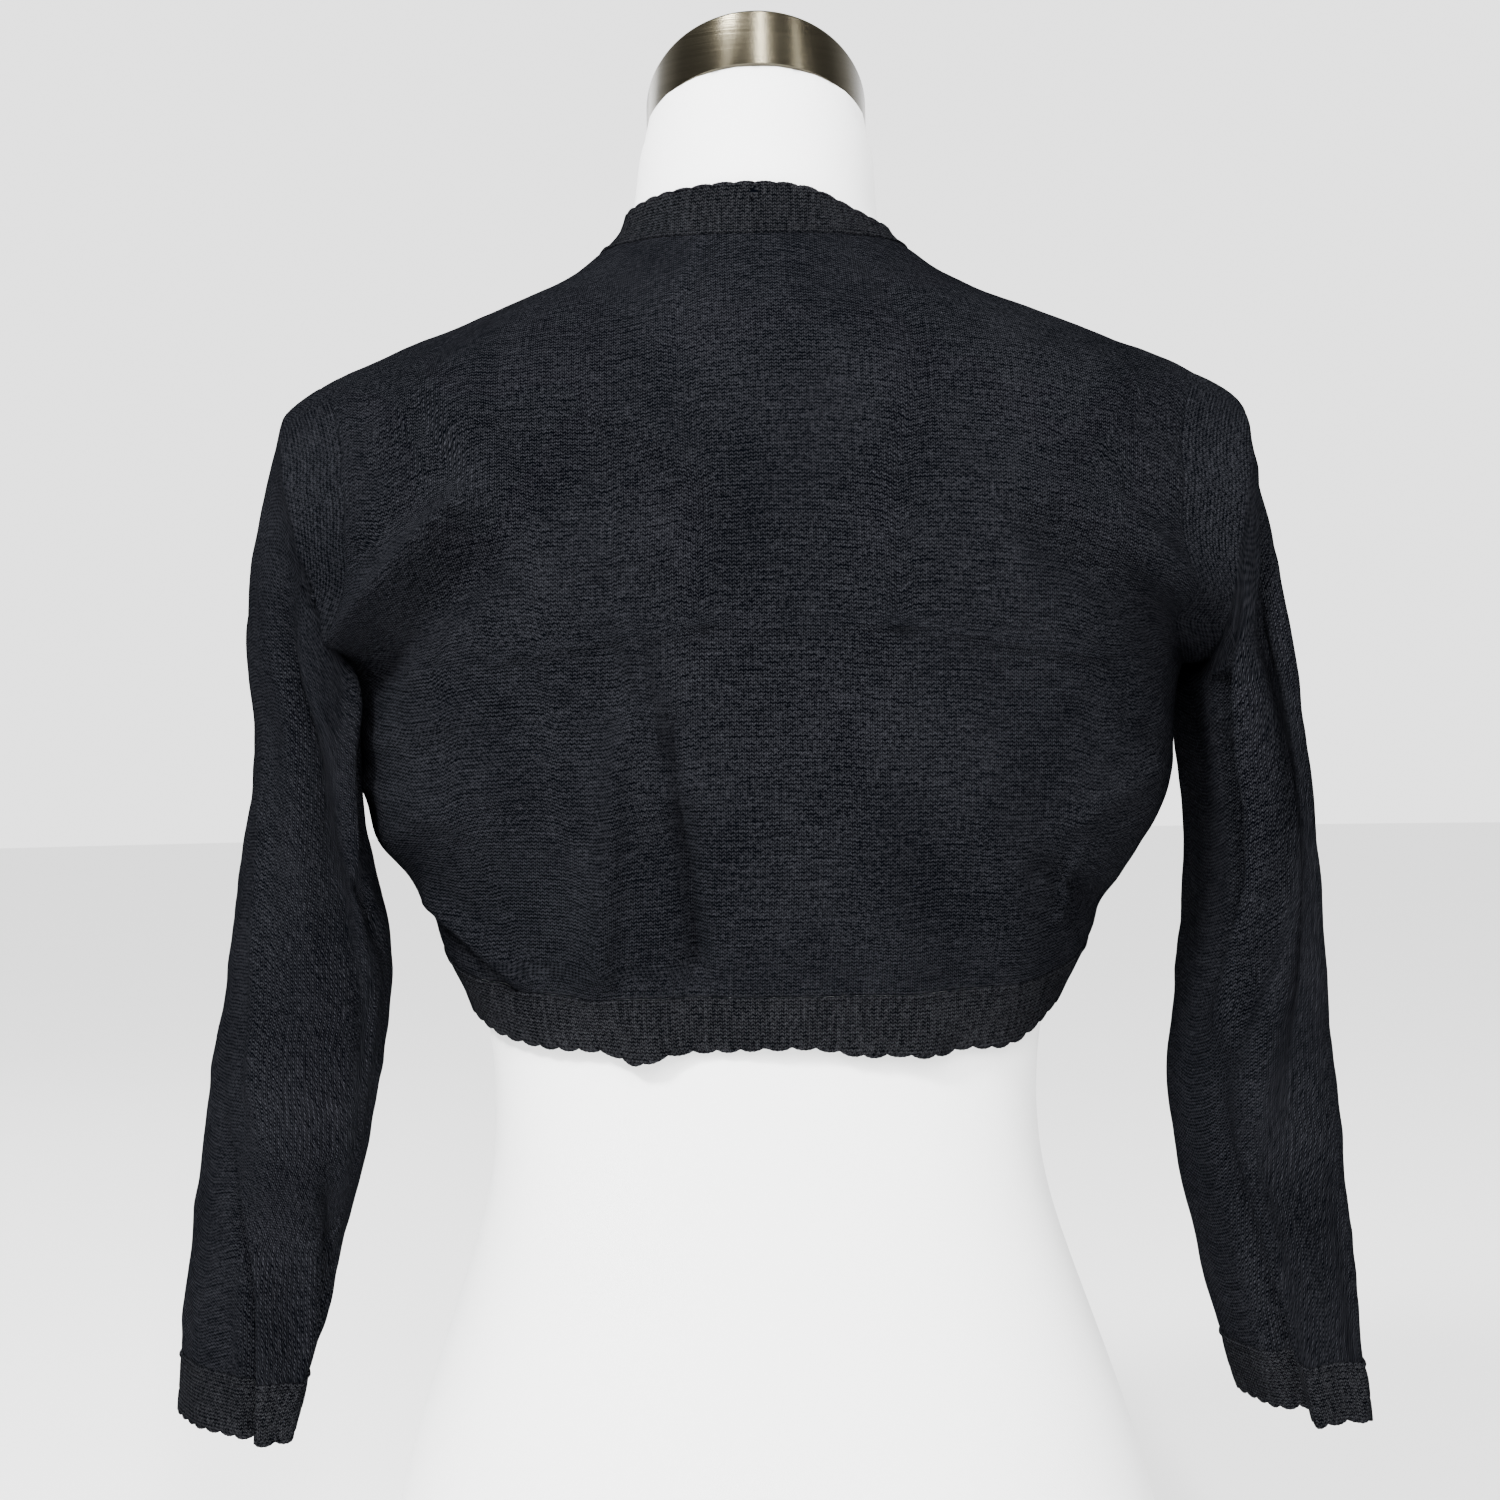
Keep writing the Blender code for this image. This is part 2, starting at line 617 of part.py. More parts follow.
def inset(points, sides, distance):
    """Moves the chosen borders of a grid inwards over its own surface: first, last, left, right."""
    moved = points.copy()
    for side in sides:
        turned = {
            "first": points, "last": points[::-1],
            "left": points.transpose(1, 0, 2), "right": points.transpose(1, 0, 2)[::-1],
        }[side]
        border = turned[0]
        along = unit(np.gradient(border, axis=0))
        inward = turned[1] - border
        inward = unit(inward - along * np.sum(inward * along, -1, keepdims=True))
        target = {
            "first": moved, "last": moved[::-1],
            "left": moved.transpose(1, 0, 2), "right": moved.transpose(1, 0, 2)[::-1],
        }[side]
        target[0] += inward * distance
    return moved


def material(name):
    """The named finish."""
    red, green, blue, roughness, metallic = COLOURS[name]
    made = bpy.data.materials.get(name) or bpy.data.materials.new(name)
    made.use_nodes = True
    shader = made.node_tree.nodes["Principled BSDF"]
    shader.inputs["Base Color"].default_value = (red, green, blue, 1.0)
    shader.inputs["Roughness"].default_value = roughness
    shader.inputs["Metallic"].default_value = metallic
    return made


def add_mesh(name, points, faces, finish):
    """A named object from points in millimetres."""
    mesh = bpy.data.meshes.new(name)
    mesh.from_pydata((np.asarray(points, float) * METRES).tolist(), [], faces)
    mesh.update()
    mesh.materials.append(material(finish))
    mesh.shade_smooth()
    made = bpy.data.objects.new(name, mesh)
    bpy.context.scene.collection.objects.link(made)
    return made


def zip_rows(row_a, row_b):
    """Triangles between two rows of points that run the same way, across the shorter diagonals.

    Rows with the same number of points keep step; otherwise the nearer next point is taken."""
    faces, i, j = [], 0, 0
    last_a, last_b = len(row_a) - 1, len(row_b) - 1
    while i < last_a or j < last_b:
        if i == last_a or j == last_b:
            step_a = j == last_b
        elif last_a == last_b and i != j:
            step_a = i < j
        else:
            by_a = np.linalg.norm(row_a[i + 1] - row_b[j])
            step_a = by_a <= np.linalg.norm(row_a[i] - row_b[j + 1])
        faces.append((("a", i), ("b", j), ("a", i + 1) if step_a else ("b", j + 1)))
        i, j = (i + 1, j) if step_a else (i, j + 1)
    return faces


def add_wall(name, outer_rows, inner_rows, closed, finish):
    """A closed wall between matching rows of outer and inner points, with a rim all round.

    Rows may have different numbers of points. A closed wall's rows come round to their start."""
    points, outer_ids, inner_ids = [], [], []
    for rows, ids in ((outer_rows, outer_ids), (inner_rows, inner_ids)):
        for row in rows:
            start = len(points)
            points.extend(row)
            names = list(range(start, start + len(row)))
            ids.append(names + [start] if closed else names)
    faces = []
    at = np.array(points)
    for k in range(len(outer_rows) - 1):
        for corners in zip_rows(at[outer_ids[k]], at[outer_ids[k + 1]]):
            outside = [outer_ids[k if row == "a" else k + 1][n] for row, n in corners]
            inside = [inner_ids[k if row == "a" else k + 1][n] for row, n in corners]
            faces += [tuple(outside), tuple(inside[::-1])]
    first = list(zip(outer_ids[0], inner_ids[0], outer_ids[0][1:], inner_ids[0][1:]))
    faces += [(a, c, d, b) for a, b, c, d in first]
    last = list(zip(outer_ids[-1], inner_ids[-1], outer_ids[-1][1:], inner_ids[-1][1:]))
    faces += [(a, b, d, c) for a, b, c, d in last]
    if not closed:
        for k in range(len(outer_rows) - 1):
            a, b = outer_ids[k][0], outer_ids[k + 1][0]
            c, d = inner_ids[k][0], inner_ids[k + 1][0]
            faces.append((a, c, d, b))
            a, b = outer_ids[k][-1], outer_ids[k + 1][-1]
            c, d = inner_ids[k][-1], inner_ids[k + 1][-1]
            faces.append((a, b, d, c))
    return add_mesh(name, points, face_outwards(points, faces), finish)


def face_outwards(points, faces):
    """The faces, all turned over if they enclose a negative volume."""
    at = np.asarray(points, float)
    volume = 0.0
    for face in faces:
        for k in range(1, len(face) - 1):
            a, b, c = at[face[0]], at[face[k]], at[face[k + 1]]
            volume += np.dot(a, np.cross(b, c))
    return faces if volume > 0 else [face[::-1] for face in faces]


def add_panel(name, angle, height, borders):
    """A panel's wall from its grid of angles and heights."""
    outer = inset(cloth_surface(angle, height), borders, SEAM_GAP / 2)
    inner = inset(cloth_surface(angle, height, -PANEL_THICKNESS), borders, SEAM_GAP / 2)
    add_wall(name, list(outer), list(inner), False, "knit_black")


def seam_path(part):
    """Angles and heights along a seam, and the direction from it to the opening, on the right side."""
    dense = 400
    angle = np.linspace(0, math.pi / 2, dense)
    neck = smooth(BACK_NECK_SEAM, "angle", "height", np.degrees(angle))
    hem = smooth(BACK_HEM_SEAM, "angle", "height", np.degrees(angle))
    down = np.linspace(NECK_SIDE_HEIGHT, SIDE_HEM_HEIGHT, 3 * dense)
    all_angles = np.concatenate([angle[:-1], front_edge_angle(down), angle[::-1][1:]])
    all_heights = np.concatenate([neck[:-1], down, hem[::-1][1:]])
    points = cloth_point(all_angles, all_heights)
    length = np.concatenate([[0], np.cumsum(np.linalg.norm(np.diff(points, axis=0), axis=-1))])
    even = np.linspace(0, length[-1], SEAM_STEPS)
    even_angle = np.interp(even, length, all_angles)
    even_height = np.interp(even, length, all_heights)
    along = np.gradient(cloth_point(even_angle, even_height), axis=0)
    kernel = np.hanning(SEAM_AVERAGE) / np.hanning(SEAM_AVERAGE).sum()
    spare = SEAM_AVERAGE - 1
    before, after = along[spare:0:-1] * [1, -1, -1], along[-2 : -2 - spare : -1] * [1, -1, -1]
    mirrored = np.concatenate([before, along, after])
    along = np.stack([np.convolve(mirrored[:, k], kernel, "same")[spare:-spare] for k in range(3)], -1)
    to_opening = unit(np.cross(cloth_normal(even_angle, even_height), unit(along)))
    shoulder = length[dense - 1]
    side = length[dense - 1 + 3 * dense - 1]
    ends = {"neck": (0, shoulder), "front": (shoulder, side), "hem": (side, length[-1])}[part]
    return even, even_angle, even_height, to_opening, length, all_angles, all_heights, ends


def scallop_drop(turns):
    """How much shorter the band is between scallops; turns counts the scallops passed."""
    phase = np.abs((turns % 1.0) * 2 - 1)
    return SCALLOP_DEPTH * (1 - np.sqrt(np.maximum(1 - phase**2 * 0.98, 0)))


def extra_reach(part, x):
    """How much wider a band is at its waves."""
    total = np.zeros_like(x)
    for wave in BAND_WAVES:
        if wave.part == part:
            total = total + wave.longer * np.exp(-(((x - wave.x) / wave.width) ** 2))
    return total


def band_reach(part, x, past_shoulder):
    """How wide a band is. A front band starts at the shoulder as wide as the neck band ends there."""
    reach = BAND_WIDTH + extra_reach(part, x)
    if part == "front":
        reach = reach + extra_reach("neck", x[:1]) * (1 - ease(0, SHOULDER_FADE, past_shoulder))
    return reach


def band_rows(part, sign, seam_lengths):
    """Angles and heights of a band's rows on one side of the body.

    seam_lengths are the places along the seam where the panel beside it has its points."""
    even, even_angle, even_height, to_opening, _, _, _, (start, end) = seam_path(part)
    total = end - start
    scallops = max(2, round(total / SCALLOP_PITCH))
    coarse = np.linspace(start, end, scallops + 1)
    fine = np.linspace(start, end, scallops * SCALLOP_STEPS + 1)
    rows = []
    for at, share in ((seam_lengths, 0.0), (coarse, 0.5), (fine, 1.0)):
        angle = np.interp(at, even, even_angle)
        height = np.interp(at, even, even_height)
        direction = np.stack([np.interp(at, even, to_opening[:, k]) for k in range(3)], -1)
        x = sign * cloth_point(angle, height)[..., 0]
        reach = band_reach(part, x, at - start) * share
        if share == 1.0:
            reach -= scallop_drop((at - start) / total * scallops)
        if share == 0.0:
            reach += SEAM_GAP / 2
        angle, height = walk(angle, height, direction, reach)
        rows.append((sign * angle, height))
    return rows


def band_walls(rows):
    """Outer and inner points of a band's rows."""
    outer = [cloth_surface(angle, height, 0.2) for angle, height in rows]
    inner = [cloth_surface(angle, height, 0.2 - BAND_THICKNESS) for angle, height in rows]
    return outer, inner


def close_ends(rows, ends):
    """Moves the chosen ends of a band's rows in by half a seam gap."""
    moved = []
    for row in rows:
        row = row.copy()
        if "start" in ends:
            row[0] += unit(row[1] - row[0]) * SEAM_GAP / 2
        if "end" in ends:
            row[-1] += unit(row[-2] - row[-1]) * SEAM_GAP / 2
        moved.append(row)
    return moved


def seam_lengths_at(part):
    """Places along a seam where the panel beside it has its points."""
    _, _, _, _, length, all_angles, all_heights, (start, end) = seam_path(part)
    inside = (length >= start - 1e-6) & (length <= end + 1e-6)
    if part == "front":
        at, _, _ = front_edge_lengths()
        return np.concatenate([[start], end - at[::-1], [end]])
    if part == "neck":
        half = np.linspace(0, math.pi / 2, NECK_COLUMNS + 1)
        return np.interp(half, all_angles[inside], length[inside])
    half = np.linspace(0, math.pi / 2, NECK_COLUMNS + SHOULDER_COLUMNS + 1)
    found = np.interp(half, all_angles[inside][::-1], length[inside][::-1])
    return found[::-1]


def add_front_band(name, sign):
    """The band down one front edge, from the shoulder seam round to the side seam."""
    outer, inner = band_walls(band_rows("front", sign, seam_lengths_at("front")))
    outer, inner = close_ends(outer, ("start", "end")), close_ends(inner, ("start", "end"))
    add_wall(name, outer, inner, False, "knit_black")


def add_back_band(name, part):
    """A band across the back, from one side to the other: its two halves are made and joined."""
    lengths = seam_lengths_at(part)
    right, left = band_rows(part, 1, lengths), band_rows(part, -1, lengths)
    rows = []
    for (angle, height), (far_angle, far_height) in zip(right, left):
        # The halves meet at the centre back, which is a half's first point at the neck and
        # its last at the hem, so the other half is turned round before they are joined.
        if part == "neck":
            joined = (
                np.concatenate([far_angle[:0:-1], angle]),
                np.concatenate([far_height[:0:-1], height]),
            )
        else:
            joined = (
                np.concatenate([angle, far_angle[-2::-1]]),
                np.concatenate([height, far_height[-2::-1]]),
            )
        rows.append(joined)
    outer, inner = band_walls(rows)
    outer, inner = close_ends(outer, ("start", "end")), close_ends(inner, ("start", "end"))
    add_wall(name, outer, inner, False, "knit_black")


def sleeve_angles():
    """Angles round a sleeve: down the back from the shoulder tip, then up the front."""
    return np.arange(2 * ARMHOLE_ROWS) * math.pi / ARMHOLE_ROWS


def armhole_ring():
    """Angles and heights on the cloth, half a gap inside the armhole seam, on the right side."""
    up = armhole_heights()
    height = np.concatenate([up[::-1], up[1:-1]])
    front = np.arange(len(height)) > ARMHOLE_ROWS
    angle = np.where(front, side_edge_angle(height, True), side_edge_angle(height, False))
    centre = np.array([cloth_point(math.pi / 2, ARMHOLE_CENTRE)[0], SIDE_Y, ARMHOLE_CENTRE])
    to_centre = unit(centre - cloth_point(angle, height))
    return walk(angle, height, to_centre, SEAM_GAP / 2)


def station_value(stations, column, at):
    """A station's column at a place between stations, where station 1 is the first row."""
    numbered = namedtuple("Numbered", "number value")
    rows = [numbered(k + 1, getattr(s, column)) for k, s in enumerate(stations)]
    return smooth(rows, "number", "value", at)


def tube_point(stations, angle, at):
    """Point of a sleeve's tube before its troughs, with x measured outwards."""
    outer_x, outer_z = station_value(stations, "outer_x", at), station_value(stations, "outer_z", at)
    inner_x, inner_z = station_value(stations, "inner_x", at), station_value(stations, "inner_z", at)
    skew = station_value(stations, "skew", at)
    half_x, half_z = (outer_x - inner_x) / 2, (outer_z - inner_z) / 2
    # The skew widens the section as seen from the back, so the rest is narrowed to the outline.
    bulk = 2 / (2 - SLEEVE_POWER)
    half_x = np.maximum(half_x**bulk - np.abs(skew) ** bulk, 25.0) ** (1 / bulk)
    across = np.sign(np.cos(angle)) * np.abs(np.cos(angle)) ** SLEEVE_POWER
    deep = np.sign(np.sin(angle)) * np.abs(np.sin(angle)) ** SLEEVE_POWER
    back, front = station_value(stations, "back", at), station_value(stations, "front", at)
    middle = (back + front) / 2
    x = (outer_x + inner_x) / 2 + half_x * across + skew * deep
    y = middle + (back - middle) * deep
    z = (outer_z + inner_z) / 2 + half_z * across
    return np.stack([x, y, z], axis=-1)


def trough_depth(troughs, stations, angle, at):
    """How deep the troughs press in at a place, and how far they push sideways."""
    depth, sideways = np.zeros_like(angle), np.zeros_like(angle)
    reach = (station_value(stations, "front", at) - station_value(stations, "back", at)) / 2
    width_there = (station_value(stations, "outer_x", at) - station_value(stations, "inner_x", at)) / 2
    radius = np.sqrt((reach**2 + width_there**2) / 2)
    for trough in troughs:
        inside = (at >= trough.path[0].station) & (at <= trough.path[-1].station)
        centre = np.radians(smooth(trough.path, "station", "angle", at))
        deep = np.maximum(smooth(trough.path, "station", "depth", at), 0) * inside
        away = (angle - centre + math.pi) % FULL_TURN - math.pi
        shape = np.exp(-((away * radius / trough.width) ** 2))
        depth = depth + deep * shape
        sideways = sideways + trough.lean * deep / 10 * shape
    return depth, sideways


def creased_point(stations, troughs, angle, at):
    """Point of a sleeve's outer face with its troughs, x measured outwards."""
    step_angle, step_at = 0.01, 0.02
    by_angle = tube_point(stations, angle + step_angle, at) - tube_point(stations, angle - step_angle, at)
    by_at = tube_point(stations, angle, at + step_at) - tube_point(stations, angle, at - step_at)
    normal = unit(np.cross(by_angle, by_at))
    depth, sideways = trough_depth(troughs, stations, angle, at)
    moved = unit(by_angle) * sideways[..., None] - normal * depth[..., None]
    return tube_point(stations, angle, at) + moved


def sleeve_surface(stations, troughs, sign, angle, at):
    """Outer point of a sleeve and its outward normal, from station 1 down."""
    step_angle, step_at = 0.03, 0.06
    point = creased_point(stations, troughs, angle, at)
    next_angle = creased_point(stations, troughs, angle + step_angle, at)
    last_angle = creased_point(stations, troughs, angle - step_angle, at)
    next_at = creased_point(stations, troughs, angle, at + step_at)
    last_at = creased_point(stations, troughs, angle, at - step_at)
    normal = unit(np.cross(next_angle - last_angle, next_at - last_at))
    mirror = np.array([sign, 1.0, 1.0])
    return point * mirror, normal * mirror


def add_sleeve(name, cuff_name, stations, troughs, sign):
    """A sleeve from the armhole to the cuff seam, and its cuff."""
    angles = sleeve_angles()
    ring_angle, ring_height = armhole_ring()
    first_outer = cloth_surface(sign * ring_angle, ring_height)
    first_inner = cloth_surface(sign * ring_angle, ring_height, -PANEL_THICKNESS)
    ats = np.linspace(FIRST_RING, CUFF_SEAM_STATION, SLEEVE_ROWS)
    outer, inner = [first_outer], [first_inner]
    for at in ats:
        point, normal = sleeve_surface(stations, troughs, sign, angles, np.full(len(angles), at))
        outer.append(point)
        inner.append(point - normal * PANEL_THICKNESS)
    for rows in (outer, inner):
        rows[-1] = rows[-1] + unit(rows[-2] - rows[-1]) * SEAM_GAP / 2
    add_wall(name, outer, inner, True, "knit_black")
    add_cuff(cuff_name, stations, troughs, sign)


def add_cuff(name, stations, troughs, sign):
    """The scalloped cuff below a sleeve's last ring."""
    seam = sleeve_angles()
    ring, _ = sleeve_surface(stations, troughs, sign, seam, np.full(len(seam), float(CUFF_EDGE_STATION)))
    length = np.linalg.norm(np.roll(ring, -1, axis=0) - ring, axis=-1).sum()
    scallops = round(length / SCALLOP_PITCH)
    coarse = np.arange(scallops) / scallops
    fine = np.arange(scallops * SCALLOP_STEPS) / (scallops * SCALLOP_STEPS)
    outer, inner = [], []
    fall = CUFF_EDGE_STATION - CUFF_SEAM_STATION
    for share, down in ((seam / FULL_TURN, 0.0), (coarse, 0.5), (fine, 1.0)):
        at = np.full(len(share), CUFF_SEAM_STATION + fall * down)
        if down == 1.0:
            at = at - scallop_drop(share * scallops) / CUFF_WIDTH
        if down == 0.0:
            at = at + SEAM_GAP / 2 / CUFF_WIDTH
        point, normal = sleeve_surface(stations, troughs, sign, share * FULL_TURN, at)
        outer.append(point + normal * 0.2)
        inner.append(point + normal * (0.2 - BAND_THICKNESS))
    add_wall(name, outer, inner, True, "knit_black")


def add_dress_form():
    """The form's body, from its flat base to the sloping top of its neck."""
    turn = np.arange(FORM_COLUMNS) * FULL_TURN / FORM_COLUMNS
    points, faces = [], []
    for height in FORM_RINGS:
        ring = section_point(FORM_SECTIONS, FORM_BUST, turn, np.full(FORM_COLUMNS, float(height)))
        slope = NECK_TOP_SLOPE * ease(NECK_TILT_FROM, NECK_TOP, height)
        ring[:, 2] -= ring[:, 1] * slope
        points.extend(ring)
    for k in range(len(FORM_RINGS) - 1):
        for j in range(FORM_COLUMNS):
            a, b = k * FORM_COLUMNS + j, k * FORM_COLUMNS + (j + 1) % FORM_COLUMNS
            faces.append((a, b, b + FORM_COLUMNS, a + FORM_COLUMNS))
    faces.append(tuple(range(FORM_COLUMNS))[::-1])
    top = (len(FORM_RINGS) - 1) * FORM_COLUMNS
    faces.append(tuple(range(top, top + FORM_COLUMNS)))
    add_mesh("dress_form", points, face_outwards(points, faces), "jersey_white")


def add_neck_cap():
    """The metal cap on the neck: a short cylinder with a low dome, on the slope of the neck."""
    turn = np.arange(CAP_COLUMNS) * FULL_TURN / CAP_COLUMNS
    circle_x, circle_y = CAP_RADIUS * np.sin(turn), CAP_CENTRE_Y - CAP_RADIUS * np.cos(turn)

    def ring(share, height, slope):
        x, y = circle_x * share, CAP_CENTRE_Y + (circle_y - CAP_CENTRE_Y) * share
        return np.stack([x, y, height - y * slope], axis=-1)

    low = NECK_TOP + CAP_GAP
    high = NECK_TOP + CAP_HEIGHT
    inner_share = 1 - CAP_ROUNDING / CAP_RADIUS
    rings = [
        ring(1.0, low, NECK_TOP_SLOPE),
        ring(1.0, high - CAP_ROUNDING, CAP_TOP_SLOPE),
        ring(inner_share, high, CAP_TOP_SLOPE),
        ring(0.72, high + CAP_DOME * 0.5, CAP_TOP_SLOPE),
        ring(0.38, high + CAP_DOME * 0.87, CAP_TOP_SLOPE),
    ]
    points = [point for one in rings for point in one]
    faces = []
    for k in range(len(rings) - 1):
        for j in range(CAP_COLUMNS):
            a, b = k * CAP_COLUMNS + j, k * CAP_COLUMNS + (j + 1) % CAP_COLUMNS
            faces.append((a, b, b + CAP_COLUMNS, a + CAP_COLUMNS))
    faces.append(tuple(range(CAP_COLUMNS))[::-1])
    last = (len(rings) - 1) * CAP_COLUMNS
    centre = len(points)
    points.append(np.array([0, CAP_CENTRE_Y, high + CAP_DOME - CAP_CENTRE_Y * CAP_TOP_SLOPE]))
    for j in range(CAP_COLUMNS):
        faces.append((last + j, last + (j + 1) % CAP_COLUMNS, centre))
    add_mesh("neck_cap", points, face_outwards(points, faces), "brushed_metal")


def build():
    for old in list(bpy.data.objects):
        bpy.data.objects.remove(old)
    add_dress_form()
    add_neck_cap()
    add_panel("shrug_back", *back_panel_grid(), ("first", "last", "left", "right"))
    add_panel("shrug_front_right", *front_panel_grid(1), ("left", "right"))
    add_panel("shrug_front_left", *front_panel_grid(-1), ("left", "right"))
    add_back_band("neck_band", "neck")
    add_back_band("hem_band", "hem")
    add_front_band("front_band_right", 1)
    add_front_band("front_band_left", -1)
    add_sleeve("sleeve_right", "cuff_right", RIGHT_SLEEVE, RIGHT_TROUGHS, 1)
    add_sleeve("sleeve_left", "cuff_left", LEFT_SLEEVE, LEFT_TROUGHS, -1)


build()
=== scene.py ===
# %% [markdown]
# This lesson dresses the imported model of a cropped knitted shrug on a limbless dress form. The
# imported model, or frame, holds plain solids of the right size. Each one is given a finished piece
# here: knitted cloth with its stitches, a jersey-covered form and a brushed-metal neck cap.
# Sizes are written in millimetres, as a maker would, and turned into metres when a mesh is made.

import math
from collections import namedtuple

import bpy
import numpy as np
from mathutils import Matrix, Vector, noise


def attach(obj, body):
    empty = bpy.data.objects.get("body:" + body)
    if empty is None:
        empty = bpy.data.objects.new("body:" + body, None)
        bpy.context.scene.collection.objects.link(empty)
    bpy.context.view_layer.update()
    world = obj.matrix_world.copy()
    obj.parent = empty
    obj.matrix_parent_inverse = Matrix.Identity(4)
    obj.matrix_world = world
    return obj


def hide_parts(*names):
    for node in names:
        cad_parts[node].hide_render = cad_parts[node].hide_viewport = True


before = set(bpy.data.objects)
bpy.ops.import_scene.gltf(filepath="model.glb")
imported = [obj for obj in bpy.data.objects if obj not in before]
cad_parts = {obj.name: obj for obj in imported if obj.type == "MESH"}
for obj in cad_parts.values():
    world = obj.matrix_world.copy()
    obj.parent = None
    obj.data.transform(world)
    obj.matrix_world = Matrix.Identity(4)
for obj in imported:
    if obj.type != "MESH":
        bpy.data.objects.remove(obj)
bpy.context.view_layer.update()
MM = 0.001
FULL_TURN = 2.0 * math.pi
BODY = "root"
print("frame nodes:", sorted(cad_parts))

# %% [markdown]
# The photograph was taken from behind, level with the middle of the back and turned by one
# degree. A camera is placed by three facts: where it stands, how wide it sees, and its tilt. The
# width seen is stated at the object's distance, and the lens length follows from it.

# %% Camera
CAMERA_PLACE = (-7.3, -1150.0, 464.0)
WIDTH_SEEN = 645.0
CAMERA_ROLL = 1.0
SENSOR_WIDTH = 36.0

camera_data = bpy.data.cameras.new("camera")
camera_data.sensor_width = SENSOR_WIDTH
camera_data.lens = SENSOR_WIDTH * -CAMERA_PLACE[1] / WIDTH_SEEN
camera = bpy.data.objects.new("camera", camera_data)
camera.location = Vector(CAMERA_PLACE) * MM
camera.rotation_euler = (math.radians(90), math.radians(CAMERA_ROLL), 0)
bpy.context.scene.collection.objects.link(camera)
bpy.context.scene.camera = camera
print("lens", round(camera_data.lens, 1), "mm")

# %% [markdown]
# Polished metal looks dark only if it has something darker to mirror, and black cloth pales under
# light from all sides. So the sky is a studio: a bright white wall behind the object, a dimmer
# room where the photographer stands, and a bright ceiling. Its three tones are mixed by the
# direction of the light alone. A round pale floor far larger than the form runs out to it. Lamps
# give the form its shading: a strong one from the upper left, weak ones from the right, from
# above and from the far side, and tall narrow ones that draw upright streaks on the metal cap.

# %% Floor and light
FLOOR_RADIUS = 14.0
FLOOR_SIDES = 96
WALL_BEHIND = 2.6
ROOM_IN_FRONT = 0.65
CEILING = 2.3
WALL_STEEPNESS = 1.6
WALL_START = 0.05
CEILING_STEEPNESS = 2.2
CEILING_START = 0.8
Lamp = namedtuple("Lamp", "name place aim width height power")
LAMPS = [
    Lamp("key", (-1.1, -2.0, 2.1), (0, 0, 0.45), 0.45, 0.45, 215),
    Lamp("fill", (1.9, -1.7, 1.0), (0, 0, 0.4), 1.2, 1.2, 5),
    Lamp("top", (0.6, -0.1, 2.4), (0, 0, 0.5), 0.6, 0.6, 12),
    Lamp("front_left", (-1.5, 2.0, 1.7), (0, 0, 0.45), 1.2, 1.2, 14),
    Lamp("streak_middle", (0.16, -1.5, 1.25), (0, 0, 0.74), 0.06, 0.9, 46),
    Lamp("streak_left", (-0.75, -1.3, 1.05), (0, 0, 0.74), 0.08, 0.9, 6),
    Lamp("streak_right", (1.0, -1.0, 1.0), (0, 0, 0.74), 0.06, 0.9, 6),
]

bpy.ops.object.select_all(action="DESELECT")
bpy.ops.mesh.primitive_circle_add(vertices=FLOOR_SIDES, radius=FLOOR_RADIUS, fill_type="NGON")
floor = bpy.context.object
floor.name = "floor"


def add_lamp(lamp):
    """A rectangular soft lamp that points at its aim."""
    data = bpy.data.lights.new(lamp.name, "AREA")
    data.shape = "RECTANGLE"
    data.size, data.size_y, data.energy = lamp.width, lamp.height, lamp.power
    made = bpy.data.objects.new(lamp.name, data)
    made.location = lamp.place
    towards = Vector(lamp.aim) - Vector(lamp.place)
    made.rotation_euler = towards.to_track_quat("-Z", "Y").to_euler()
    bpy.context.scene.collection.objects.link(made)


for lamp in LAMPS:
    add_lamp(lamp)
print("lamps:", len(LAMPS))

# %% [markdown]
# Materials are node graphs, and a pattern is easier to read as a sum than as a web of nodes. Wire
# wraps one socket, so that an expression such as 1 - groove adds the Math node that it needs.
# Everything that isn't a sum comes from Paint.node.

# %% Shader sums
class Wire:
    """An output of a node that can be used in sums."""

    def __init__(self, tree, socket):
        self.tree = tree
        self.socket = socket

    def math(self, operation, *others, clamp=False):
        """A Math node on this wire and on numbers or other wires."""
        node = self.tree.nodes.new("ShaderNodeMath")
        node.operation = operation
        node.use_clamp = clamp
        for socket, value in zip(node.inputs, (self, *others)):
            if isinstance(value, Wire):
                self.tree.links.new(value.socket, socket)
            else:
                socket.default_value = value
        return Wire(self.tree, node.outputs[0])

    def __add__(self, other):
        return self.math("ADD", other)

    def __sub__(self, other):
        return self.math("SUBTRACT", other)

    def __rsub__(self, other):
        return self.math("MULTIPLY", -1.0).math("ADD", other)

    def __mul__(self, other):
        return self.math("MULTIPLY", other)


